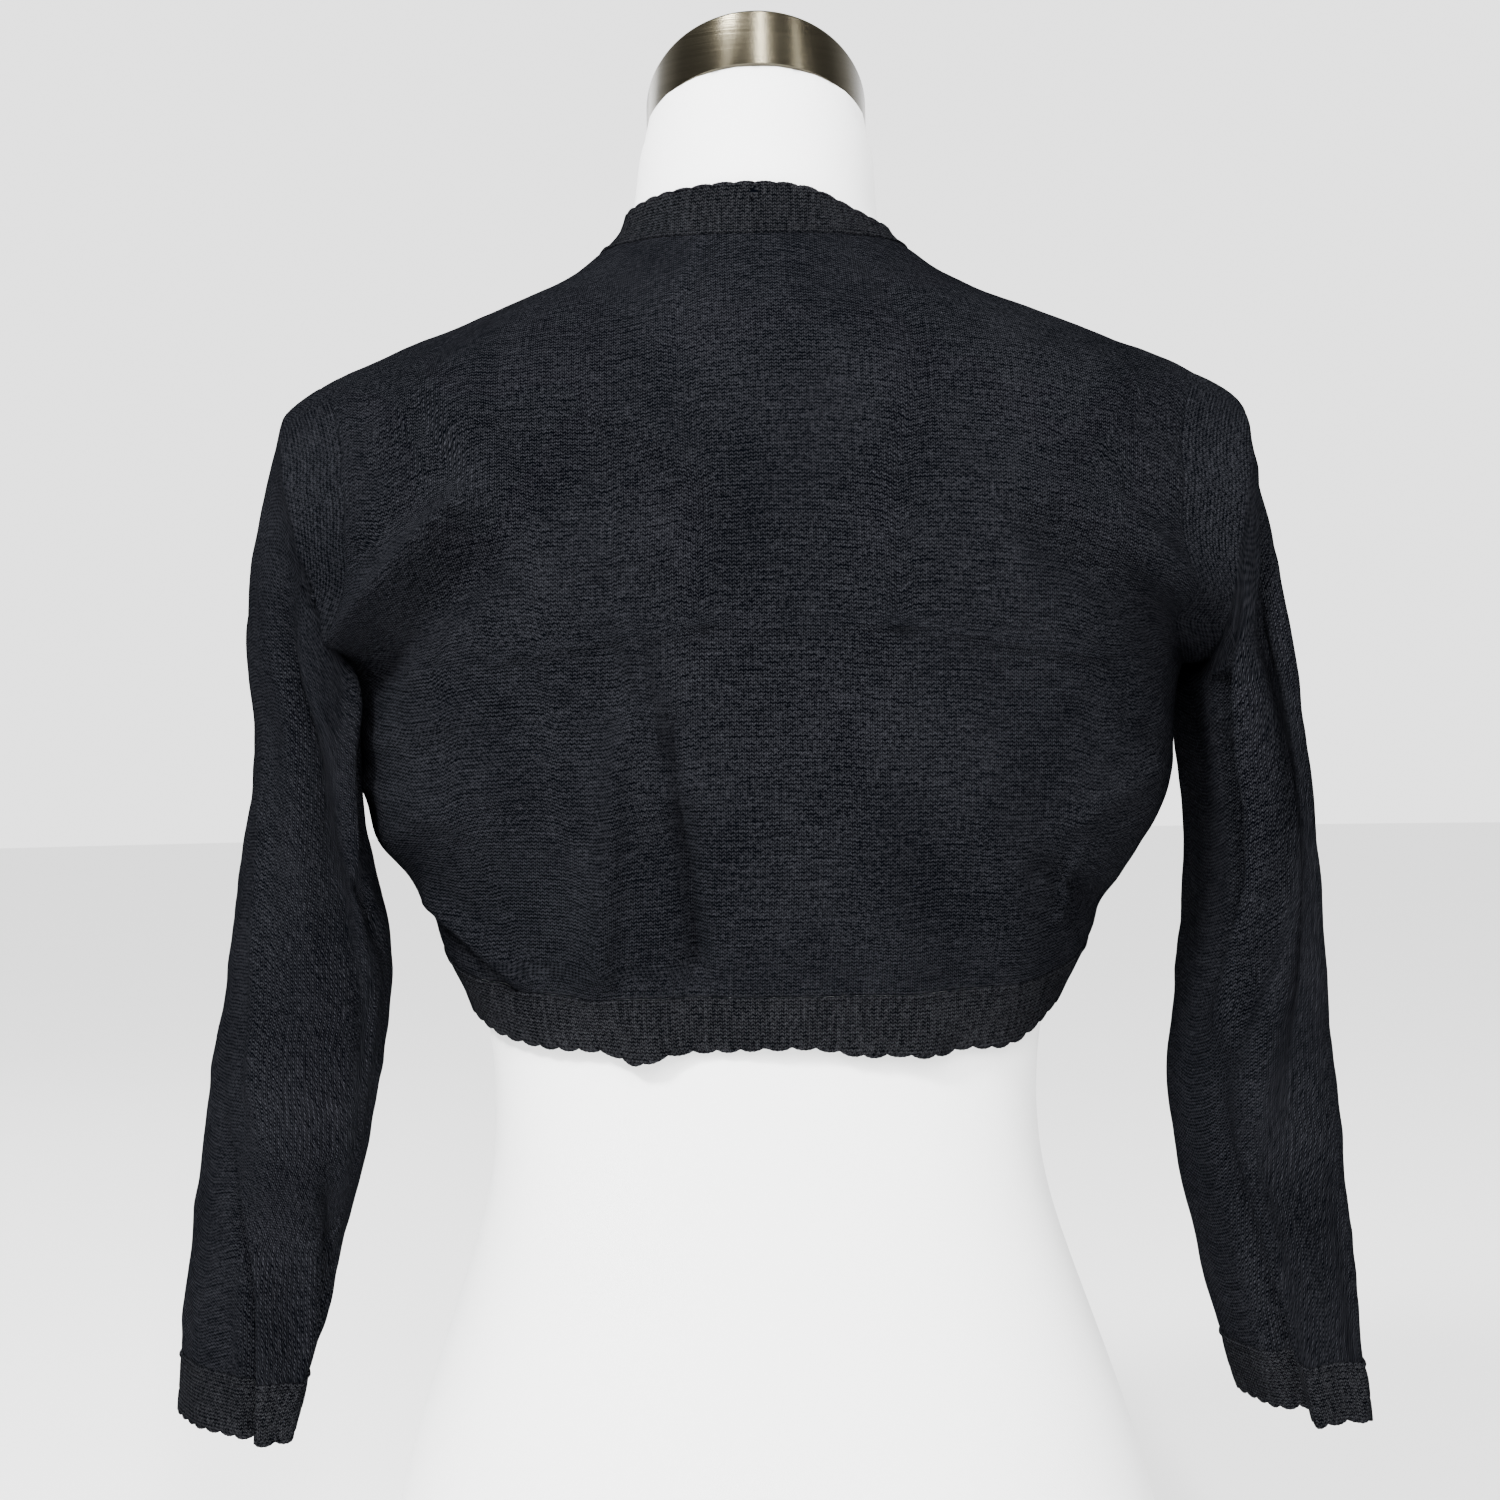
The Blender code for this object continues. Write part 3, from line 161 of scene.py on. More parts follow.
class Paint:
    """A material and the nodes in it."""

    def __init__(self, name, roughness, metallic=0.0):
        self.material = bpy.data.materials.new(name)
        self.material.use_nodes = True
        self.tree = self.material.node_tree
        self.shader = self.tree.nodes["Principled BSDF"]
        self.shader.inputs["Roughness"].default_value = roughness
        self.shader.inputs["Metallic"].default_value = metallic

    def node(self, kind, settings=None, output=0, **values):
        """One output of a new node. Its settings are set before its sockets."""
        node = self.tree.nodes.new(kind)
        for key, value in (settings or {}).items():
            setattr(node, key, value)
        for key, value in values.items():
            name = key.replace("_", " ")
            socket = next(s for s in node.inputs if s.name == name and s.enabled)
            if isinstance(value, Wire):
                self.tree.links.new(value.socket, socket)
            else:
                socket.default_value = value
        return Wire(self.tree, node.outputs[output])

    def split(self, wire):
        """The three parts of a vector."""
        node = self.tree.nodes.new("ShaderNodeSeparateXYZ")
        self.tree.links.new(wire.socket, node.inputs[0])
        return [Wire(self.tree, socket) for socket in node.outputs]

    def noise(self, place, scale, detail=2.0, roughness=0.5):
        """Smooth noise from 0 to 1 over a place."""
        return self.node("ShaderNodeTexNoise", Vector=place, Scale=scale, Detail=detail, Roughness=roughness)

    def mix_colours(self, share, colour_a, colour_b):
        """Colour a where share is 0 and colour b where it is 1."""
        mix = self.tree.nodes.new("ShaderNodeMix")
        mix.data_type = "RGBA"
        self.tree.links.new(share.socket, mix.inputs[0])
        for socket, colour in ((mix.inputs[6], colour_a), (mix.inputs[7], colour_b)):
            if isinstance(colour, Wire):
                self.tree.links.new(colour.socket, socket)
            else:
                socket.default_value = (*colour, 1.0)
        return Wire(self.tree, mix.outputs[2])

    def feed(self, socket, wire):
        """Links a wire to one of the shader's own sockets."""
        self.tree.links.new(wire.socket, self.shader.inputs[socket])

    def relief(self, height, distance, strength=1.0):
        """Raises the surface by a height, in metres, as light sees it."""
        bump = self.node("ShaderNodeBump", Height=height, Distance=distance, Strength=strength)
        self.feed("Normal", bump)


# %% [markdown]
# The sky uses the same sums. Its Generated coordinates are the direction that is looked in: y is
# towards the wall behind the object, and z is up.

# %% Sky
sky = bpy.data.worlds.new("studio_sky")
sky.use_nodes = True
direction = sky.node_tree.nodes.new("ShaderNodeTexCoord")
parts = sky.node_tree.nodes.new("ShaderNodeSeparateXYZ")
sky.node_tree.links.new(direction.outputs["Generated"], parts.inputs[0])
_, backwards, upwards = (Wire(sky.node_tree, socket) for socket in parts.outputs)
wall_share = (backwards * WALL_STEEPNESS + WALL_START).math("ADD", 0.0, clamp=True)
ceiling_share = (upwards * CEILING_STEEPNESS - CEILING_START).math("ADD", 0.0, clamp=True)
around = wall_share * (WALL_BEHIND - ROOM_IN_FRONT) + ROOM_IN_FRONT
strength = around + (CEILING - around) * ceiling_share
background = sky.node_tree.nodes["Background"]
background.inputs["Color"].default_value = (1.0, 1.0, 1.0, 1.0)
sky.node_tree.links.new(strength.socket, background.inputs["Strength"])
bpy.context.scene.world = sky
print("sky:", WALL_BEHIND, "behind,", ROOM_IN_FRONT, "in front,", CEILING, "above")

# %% [markdown]
# The cloth is stocking stitch: columns of small V shapes, called wales, that stack in rows, called
# courses. One stitch is 1.9 mm wide and 1.45 mm tall. The pattern follows a UV map in which one
# unit is one stitch, so that it bends with the cloth. Each V is two slanting legs. A leg's height
# is a half circle across, and it swells once in each course. Dark yarn shows its relief only
# faintly, so the leg's height also paints shade into the grooves and a highlight onto the tops.
# The yarn mirrors nothing, or every slope seen edge-on would turn pale, and a very weak sheen
# gives the bloom of worn fibres. The bands are knitted sideways, so their yarn is uneven along
# other lines than the panels' yarn.

# %% Knit
WALE = 1.9
COURSE = 1.45
YARN_DARK = (0.0004, 0.0006, 0.0011)
YARN_LIGHT = (0.0196, 0.0201, 0.0236)
BAND_YARN_LIGHT = (0.0330, 0.0335, 0.0375)
PANEL_GRAIN = (0.16, 0.85)
BAND_GRAIN = (0.95, 0.10)
PANEL_GROOVE = 0.0008
BAND_GROOVE = 0.0017
LEG_SLANT = 1.3
LEG_SWELL = 0.40
WANDER_ACROSS = 0.12
WANDER_ALONG = 0.2
STITCH_SHADE_AND_HIGHLIGHT = 0.75
UNEVEN_TONE = 0.8
FUZZ_TONE = 1.5
WEAR_TONE = 0.35
TONE_SHIFT = -0.08
FUZZ_HEIGHT = 0.25


def knit_paint(name, groove_depth, grain, yarn_light):
    """The black knit, from how deep its stitches look in metres, its grain and its light tone."""
    paint = Paint(name, 0.62)
    stitch = paint.node("ShaderNodeUVMap", {"uv_map": "stitches"})
    across, along, _ = paint.split(stitch)
    place = paint.node("ShaderNodeTexCoord", output=3)
    wander = paint.noise(stitch, 0.35, 1.0) - 0.5
    off_middle = ((across + wander * WANDER_ACROSS).math("FRACT") - 0.5).math("ABSOLUTE")
    off_leg = (off_middle - 0.25) * 4.0
    leg = (1.0 - off_leg * off_leg).math("MAXIMUM", 0.0).math("SQRT")
    beat = ((along + off_middle * LEG_SLANT + wander * WANDER_ALONG) * FULL_TURN).math("COSINE")
    stitch_height = leg * (beat * LEG_SWELL + (1.0 - LEG_SWELL))
    course = paint.node("ShaderNodeMapping", Vector=stitch, Scale=(*grain, 1.0))
    uneven = paint.noise(course, 1.0, 2.0, 0.7)
    fuzz = paint.noise(stitch, 1.1, 2.0, 0.6)
    wear = paint.noise(place, 24.0, 3.0)
    # The stitch height paints shade into the grooves and a highlight onto the tops; uneven yarn, fuzz and
    # wear add the yarn's own random tone.
    tone = stitch_height * STITCH_SHADE_AND_HIGHLIGHT + (uneven - 0.5) * UNEVEN_TONE
    tone = tone + (fuzz - 0.5) * FUZZ_TONE + (wear - 0.5) * WEAR_TONE
    tone = tone.math("ADD", TONE_SHIFT, clamp=True)
    paint.feed("Base Color", paint.mix_colours(tone, YARN_DARK, yarn_light))
    paint.feed("Roughness", 0.72 - tone * 0.14)
    paint.relief(stitch_height + fuzz * FUZZ_HEIGHT, groove_depth)
    paint.shader.inputs["Specular IOR Level"].default_value = 0.0
    paint.shader.inputs["Sheen Weight"].default_value = 0.003
    paint.shader.inputs["Sheen Roughness"].default_value = 0.45
    paint.shader.inputs["Sheen Tint"].default_value = (0.55, 0.62, 0.78, 1.0)
    return paint.material


knit = knit_paint("black_knit", PANEL_GROOVE, PANEL_GRAIN, YARN_LIGHT)
band_knit = knit_paint("black_band_knit", BAND_GROOVE, BAND_GRAIN, BAND_YARN_LIGHT)
print("knit materials:", knit.name, band_knit.name)

# %% [markdown]
# The form is covered in white stretch jersey, pulled so smooth that its stitches barely show. A
# very fine rib and a slow unevenness are enough to stop it from looking like plaster.

# %% Jersey, metal and paper
JERSEY_WALES_ROUND = 620.0
JERSEY_COURSE_TURNS = 5200.0
JERSEY_TONES = ((0.80, 0.805, 0.81), (0.86, 0.86, 0.855))
NICKEL_TONES = ((0.024, 0.021, 0.013), (0.070, 0.062, 0.044))
BRUSH_LINES = (6.0, 6.0, 1800.0)
PAPER_TONES = ((0.965, 0.965, 0.965), (0.985, 0.985, 0.985))

paint = Paint("white_jersey", 0.85)
place = paint.node("ShaderNodeTexCoord", output=3)
jersey_x, jersey_y, jersey_z = paint.split(place)
turn = (jersey_y + 0.005).math("ARCTAN2", jersey_x)
rib = (turn * JERSEY_WALES_ROUND).math("SINE") * (jersey_z * JERSEY_COURSE_TURNS).math("SINE")
slow = paint.noise(place, 9.0, 3.0)
paint.feed("Base Color", paint.mix_colours(slow, *JERSEY_TONES))
paint.feed("Roughness", slow * 0.15 + 0.76)
paint.relief(rib * 0.12 + paint.noise(place, 900.0, 1.0) * 0.5 + slow * 3.0, 0.0003, 0.6)
paint.shader.inputs["Sheen Weight"].default_value = 0.10
jersey = paint.material

paint = Paint("brushed_nickel", 0.30, 1.0)
place = paint.node("ShaderNodeTexCoord", output=3)
ring_only = paint.node("ShaderNodeMapping", Vector=place, Scale=BRUSH_LINES)
lines = paint.noise(ring_only, 1.0, 4.0, 0.65)
smudge = paint.noise(place, 60.0, 3.0)
paint.feed("Base Color", paint.mix_colours(lines, *NICKEL_TONES))
paint.feed("Roughness", lines * 0.10 + smudge * 0.05 + 0.11)
paint.relief(lines, 0.00006, 0.5)
paint.shader.inputs["Anisotropic"].default_value = 0.5
nickel = paint.material

paint = Paint("white_paper", 0.9)
place = paint.node("ShaderNodeTexCoord", output=3)
paint.feed("Base Color", paint.mix_colours(paint.noise(place, 3.0), *PAPER_TONES))
floor.data.materials.append(paint.material)
print("other materials:", jersey.name, nickel.name)

# %% [markdown]
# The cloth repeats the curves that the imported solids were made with, but with hundreds of rows
# where the solids have a dozen. The finished cloth isn't quite the solids' shape: its folds are
# stronger, and under the arms its sleeves lean closer to the body. The body is a stack of rounded
# sections: for each height, a half width and how far the back and the front reach.

# %% Curves through table rows
def smooth(rows, key, column, at):
    """Value of a column where the key column has the value at, on a smooth curve through the rows."""
    xs = np.array([getattr(row, key) for row in rows], float)
    ys = np.array([getattr(row, column) for row in rows], float)
    slopes = np.gradient(ys, xs)
    at = np.clip(np.asarray(at, float), xs[0], xs[-1])
    i = np.clip(np.searchsorted(xs, at) - 1, 0, len(xs) - 2)
    step = xs[i + 1] - xs[i]
    t = (at - xs[i]) / step
    low = ys[i] * (1 + 2 * t) * (1 - t) ** 2 + slopes[i] * step * t * (1 - t) ** 2
    high = ys[i + 1] * t * t * (3 - 2 * t) + slopes[i + 1] * step * t * t * (t - 1)
    return low + high


def ease(low, high, at):
    """0 below low, 1 above high, and a smooth step between them."""
    t = np.clip((at - low) / (high - low), 0, 1)
    return t * t * (3 - 2 * t)


def unit(vectors):
    """The vectors at length 1."""
    return vectors / np.maximum(np.linalg.norm(vectors, axis=-1, keepdims=True), 1e-9)


def gentle_noise(points, size, height, seed):
    """Soft bumps of a size and a height, in millimetres, over a grid of points."""
    flat = points.reshape(-1, 3) / size + seed
    values = [noise.noise(Vector(point)) for point in flat]
    return np.array(values).reshape(points.shape[:-1]) * height


# %% Sections of the worn cloth
SIDE_Y = -5.0
BODY_POWER = 0.89
NECK_POWER = 1.0
NECK_POWER_FROM = 630.0
NECK_POWER_TO = 690.0
CHEST_HEIGHT = 500.0
Section = namedtuple("Section", "height half_width back front")
CLOTH_SECTIONS = [
    Section(335, 119.5, -82, 88),
    Section(344, 120.7, -83.5, 90),
    Section(352, 123, -85.5, 92),
    Section(360, 126.4, -87.5, 95),
    Section(370, 131.1, -90, 98),
    Section(380, 136, -94, 101),
    Section(390, 140.5, -97.5, 103.5),
    Section(400, 145, -100.5, 106),
    Section(410, 150.4, -103, 108),
    Section(420, 156.8, -104.5, 109.5),
    Section(430, 163.5, -105.5, 110.5),
    Section(440, 168, -106, 111),
    Section(450, 171, -106.3, 111.5),
    Section(462, 172.5, -106.5, 112),
    Section(475, 173, -107, 111.5),
    Section(488, 174.5, -107, 110.5),
    Section(500, 178.5, -107.3, 109),
    Section(512, 187, -107.3, 107),
    Section(525, 199, -107, 104),
    Section(540, 209.5, -106.5, 100),
    Section(555, 214, -105, 94.5),
    Section(570, 214.5, -103, 88),
    Section(585, 212.5, -100.5, 81),
    Section(599.8, 208, -97, 73.5),
    Section(608.1, 203, -94.8, 69),
    Section(613.7, 196, -93, 66),
    Section(619.2, 186.5, -91, 63.5),
    Section(624.9, 175.5, -89, 61),
    Section(630.5, 161.5, -86.5, 58.5),
    Section(636.2, 147.5, -84, 56.5),
    Section(643.2, 130, -81, 54.5),
    Section(653.2, 105, -75.5, 52),
    Section(662.2, 85, -70.8, 50),
    Section(672, 70.5, -66, 48),
    Section(677.4, 63.5, -63.3, 47.3),
    Section(683.3, 58.6, -61, 46.8),
    Section(689.2, 56.3, -59.3, 46.6),
    Section(696.5, 55.2, -57.2, 46.8),
    Section(706, 54.5, -55, 47.3),
]
Drift = namedtuple("Drift", "height shift")
DRIFTS = [
    Drift(0, -1.0),
    Drift(100, -1.2),
    Drift(160, -1.9),
    Drift(220, -2.5),
    Drift(280, -2.9),
    Drift(335, -3.1),
    Drift(375, -2.0),
    Drift(410, -0.4),
    Drift(460, 0.0),
    Drift(560, 0.0),
    Drift(625, -1.0),
    Drift(665, -1.9),
    Drift(690, -1.5),
    Drift(710, -0.4),
    Drift(726, 0.0),
]
Bust = namedtuple("Bust", "apart height spread_x spread_z lift")
BUST = Bust(72, 464, 46, 50, 17)


def section_power(height):
    """How square a section is: flatter on the body, round at the neck."""
    share = ease(NECK_POWER_FROM, NECK_POWER_TO, height)
    return BODY_POWER + (NECK_POWER - BODY_POWER) * share


def cloth_point(angle, height):
    """Point of the cloth before its folds. Angle 0 is the centre back, 90 degrees the right side."""
    half_width, back, front = (
        smooth(CLOTH_SECTIONS, "height", column, height) for column in ("half_width", "back", "front")
    )
    power = section_power(height)
    across, along = np.sin(angle), np.cos(angle)
    x = half_width * np.sign(across) * np.abs(across) ** power
    reach = np.where(along > 0, back - SIDE_Y, front - SIDE_Y)
    y = SIDE_Y + reach * np.abs(along) ** power
    sideways = (np.abs(x) - BUST.apart) / BUST.spread_x
    upward = (height - BUST.height) / BUST.spread_z
    swell = BUST.lift * np.exp(-(sideways**2) - upward**2)
    y = y + np.where(along < 0, swell * np.abs(along) ** 0.5, 0)
    x = x + smooth(DRIFTS, "height", "shift", height)
    return np.stack(np.broadcast_arrays(x, y, height), axis=-1)


def cloth_slopes(angle, height):
    """How the cloth's point moves with the angle and with the height."""
    d_angle, d_height = 0.004, 0.4
    by_angle = cloth_point(angle + d_angle, height) - cloth_point(angle - d_angle, height)
    by_height = cloth_point(angle, height + d_height) - cloth_point(angle, height - d_height)
    return by_angle / (2 * d_angle), by_height / (2 * d_height)


def cloth_normal(angle, height):
    """Outward normal of the cloth."""
    by_angle, by_height = cloth_slopes(angle, height)
    return unit(np.cross(by_angle, by_height))


def angle_at_x(x, height, front):
    """Angle of the cloth's point at a distance x from the middle, on the back or the front."""
    share = np.clip(np.abs(x) / smooth(CLOTH_SECTIONS, "height", "half_width", height), 0, 1)
    angle = np.arcsin(share ** (1 / section_power(height)))
    return math.pi - angle if front else angle


print("cloth at the chest:", cloth_point(np.array(0.0), np.array(CHEST_HEIGHT)).round(1))

# %% [markdown]
# The seams are where the maker's pieces meet. Each is a line on the body, given by a few heights
# or distances from the middle: the neck and hem seams of the back, the seam down the front edge,
# and the armhole.

# %% Seams
UNDERARM_HEIGHT = 497.0
SHOULDER_TIP_HEIGHT = 619.0
NECK_SIDE_HEIGHT = 674.5
SIDE_HEM_HEIGHT = 384.0
EdgeHeight = namedtuple("EdgeHeight", "angle height")
BACK_NECK_SEAM = [
    EdgeHeight(0, 674),
    EdgeHeight(30, 674.6),
    EdgeHeight(60, 675.2),
    EdgeHeight(90, NECK_SIDE_HEIGHT),
]
BACK_HEM_SEAM = [
    EdgeHeight(0, 365.5),
    EdgeHeight(30, 366.2),
    EdgeHeight(55, 369.3),
    EdgeHeight(75, 376.4),
    EdgeHeight(90, SIDE_HEM_HEIGHT),
]
EdgeX = namedtuple("EdgeX", "height x")
FRONT_SEAM = [
    EdgeX(SIDE_HEM_HEIGHT, 137.8),
    EdgeX(387.5, 129),
    EdgeX(392, 116),
    EdgeX(398, 101),
    EdgeX(407, 86),
    EdgeX(420, 73),
    EdgeX(437, 62.5),
    EdgeX(460, 56),
    EdgeX(490, 53),
    EdgeX(530, 52),
    EdgeX(570, 52),
    EdgeX(605, 53),
    EdgeX(635, 56),
    EdgeX(650, 59.5),
    EdgeX(661, 63.2),
    EdgeX(669, 66),
    EdgeX(NECK_SIDE_HEIGHT, 67.2),
]
Armhole = namedtuple("Armhole", "height back_x front_x")
ARMHOLE = [
    Armhole(UNDERARM_HEIGHT, 177.5, 177.5),
    Armhole(500, 175.6, 175),
    Armhole(505, 173.3, 171.5),
    Armhole(512, 171.3, 168),
    Armhole(525, 169.6, 164),
    Armhole(545, 168.6, 161.5),
    Armhole(570, 168.8, 161.5),
    Armhole(595, 171.5, 166),
    Armhole(610, 176.5, 173),
    Armhole(618, 181.8, 180.3),
    Armhole(SHOULDER_TIP_HEIGHT, 186.5, 186.5),
]
print("seam tables:", len(FRONT_SEAM), len(ARMHOLE))

# %% [markdown]
# Black cloth shows its shape only by its folds, so these matter more than anything else. They were
# found in a brightened copy of the photograph: ridges that drag from the underarm, a soft pleat on
# the left of the back, an arched crease where the garment was stored folded, and crumples above the
# hem. Each row is a straight ridge, or a trough if it is below 0, with a soft width. The fine ones
# are too fine for the solids and are added only here. Each table has a strength that all its lifts
# are multiplied by, and the cloth is a little uneven all over.

# %% Folds
Fold = namedtuple("Fold", "face x_from z_from x_to z_to width lift")
BODY_FOLDS = [
    Fold("back", -52, 508, -38, 452, 9, 2.6),
    Fold("back", -56, 466, -70, 374, 10, 3.0),
    Fold("back", -35, 432, -31, 376, 8, -2.2),
    Fold("back", -174, 512, -122, 561, 10, 4.5),
    Fold("back", -160, 502, -116, 536, 10, -4.0),
    Fold("back", 166, 531, 112, 563, 10, 3.2),
    Fold("back", 160, 512, 116, 543, 9, -3.8),
    Fold("back", 116, 410, 134, 400, 7, -3.0),
    Fold("back", -152, 434, -107, 454, 12, 2.5),
    Fold("back", 40, 420, 52, 380, 12, 1.8),
    Fold("back", 84, 452, 98, 384, 13, 2.0),
    Fold("front", 84, 446, 96, 404, 11, 2.8),
    Fold("front", 118, 470, 128, 404, 12, -2.6),
    Fold("front", -88, 450, -94, 402, 12, 2.6),
    Fold("front", -122, 462, -126, 404, 11, -2.8),
    Fold("front", 158, 520, 112, 552, 10, 3.6),
    Fold("front", 154, 505, 110, 530, 10, -3.4),
    Fold("front", -160, 522, -110, 550, 10, 3.4),
    Fold("front", -152, 504, -106, 528, 10, -3.6),
]
FINE_FOLDS = [
    Fold("back", -108, 501, -26, 513, 2.4, 0.9),
    Fold("back", -26, 513, 52, 512, 2.4, 0.8),
    Fold("back", 52, 512, 134, 499, 2.4, 1.0),
    Fold("back", -170, 517, -119, 562, 4.0, 1.9),
    Fold("back", -68, 590, -17, 554, 8.0, -0.9),
    Fold("back", -60, 600, -6, 562, 8.0, 0.8),
    Fold("back", -50, 500, -41, 466, 3.5, 1.2),
    Fold("back", -38, 474, -30, 380, 3.0, -1.8),
    Fold("back", -57, 470, -66, 380, 3.4, 1.3),
    Fold("back", 112, 408, 124, 398, 3.2, 1.3),
    Fold("back", 118, 400, 128, 390, 2.8, -1.3),
    Fold("back", 123, 414, 118, 396, 2.8, 1.1),
    Fold("back", -138, 404, -103, 375, 4.5, 1.8),
    Fold("back", -140, 394, -112, 372, 4.0, -1.4),
    Fold("back", -162, 470, -122, 480, 5.0, 0.9),
    Fold("back", -166, 452, -126, 438, 5.0, 0.9),
    Fold("back", 160, 474, 124, 484, 5.0, 0.8),
    Fold("back", 158, 452, 128, 436, 5.0, 0.8),
    Fold("back", -61, 537, -50, 494, 5.0, 0.8),
    Fold("back", -84, 552, -62, 536, 6.0, 0.5),
    Fold("back", -118, 600, -170, 548, 7.0, 0.8),
    Fold("back", -140, 610, -176, 566, 6.0, 0.7),
    Fold("back", 146, 590, 172, 566, 5.0, 0.6),
    Fold("back", 118, 556, 168, 514, 4.0, -1.0),
    Fold("back", 140, 560, 170, 530, 4.0, 1.0),
]
BandWave = namedtuple("BandWave", "part x width lift longer")
BAND_WAVES = [
    BandWave("hem", -88, 16, 1.2, 0.8),
    BandWave("hem", -49, 10, 5.5, 4.5),
    BandWave("hem", -22, 13, -1.2, 0.2),
    BandWave("hem", 8, 13, 1.5, -1.6),
    BandWave("hem", 38, 12, 2.0, 2.6),
    BandWave("hem", 62, 14, 4.5, 3.8),
    BandWave("hem", 95, 16, 1.5, 5.0),
    BandWave("neck", 0, 24, 0, 0.8),
    BandWave("neck", -66, 18, 0, -2.0),
    BandWave("neck", 59, 26, 0, -11.0),
]
HEM_WAVE_TOP = 371.0
HEM_WAVE_REACH = 28.0
LARGE_STRENGTH = 2.0
FINE_STRENGTH = 3.0
FACE_FADE = (-0.10, 0.25)
FOLD_END_SOFTNESS = 1.6
Unevenness = namedtuple("Unevenness", "size height seed")
BODY_UNEVENNESS = [
    Unevenness(24.0, 0.8, 0.0),
    Unevenness(9.0, 0.3, 7.0),
]


def ridge(fold, x, z):
    """The shape of one fold over the places x and z, 1 along its line."""
    run = np.array([fold.x_to - fold.x_from, fold.z_to - fold.z_from])
    length = np.hypot(*run)
    run = run / length
    away_x, away_z = x - fold.x_from, z - fold.z_from
    along = away_x * run[0] + away_z * run[1]
    across = away_x * run[1] - away_z * run[0]
    beyond = np.maximum(np.maximum(-along, along - length), 0)
    return np.exp(-((across / fold.width) ** 2) - (beyond / (FOLD_END_SOFTNESS * fold.width)) ** 2)


def table_lift(folds, strength, x, z, faces):
    """How far one table's folds lift the cloth over the places x and z."""
    return sum(strength * fold.lift * ridge(fold, x, z) * faces[fold.face] for fold in folds)


def fold_lift(point, angle, height):
    """How far the folds lift the cloth at a point."""
    x, z = point[..., 0], point[..., 2]
    faces = {"back": ease(*FACE_FADE, np.cos(angle)), "front": ease(*FACE_FADE, -np.cos(angle))}
    total = table_lift(BODY_FOLDS, LARGE_STRENGTH, x, z, faces)
    total = total + table_lift(FINE_FOLDS, FINE_STRENGTH, x, z, faces)
    loose = ease(0, HEM_WAVE_REACH, HEM_WAVE_TOP - height) * faces["back"]
    for wave in BAND_WAVES:
        if wave.part == "hem":
            total = total + wave.lift * loose * np.exp(-(((x - wave.x) / wave.width) ** 2))
    return total


def cloth_surface(angle, height, lift=0.0):
    """Point of the folded cloth, lifted off its outer face by lift."""
    point = cloth_point(angle, height)
    rise = fold_lift(point, angle, height) + lift
    for uneven in BODY_UNEVENNESS:
        rise = rise + gentle_noise(point, *uneven)
    return point + cloth_normal(angle, height) * rise[..., None]


print("folds:", len(BODY_FOLDS), "large,", len(FINE_FOLDS), "fine")

# %% [markdown]
# A cloth piece is a grid of points turned into a mesh. Rows run up the wales and columns across
# them, so the stitch map is simply how far each point lies along its row and its column. A closed
# tube repeats its first column at the end, and merging the doubles closes it while the map keeps
# its seam. Solidify then gives the sheet its thickness, inwards.

# %% From a grid to a shell
KNIT_THICKNESS = 1.2
MERGE_DISTANCE = 0.01
CLOTH_SMOOTH_ANGLE = 60.0


def stitch_map(points, middle_column):
    """Stitches across and along at each point of a grid."""
    across = np.linalg.norm(np.diff(points, axis=1), axis=-1).cumsum(axis=1)
    across = np.concatenate([np.zeros((len(points), 1)), across], axis=1)
    across = across - across[:, middle_column : middle_column + 1]
    along = np.linalg.norm(np.diff(points, axis=0), axis=-1).cumsum(axis=0)
    along = np.concatenate([np.zeros((1, points.shape[1])), along], axis=0)
    return np.stack([across / WALE, along / COURSE], axis=-1)


def grid_area(points):
    """Area of a grid of points, in square millimetres."""
    one = np.cross(points[1:, 1:] - points[:-1, :-1], points[1:, :-1] - points[:-1, 1:])
    return np.linalg.norm(one, axis=-1).sum() / 2


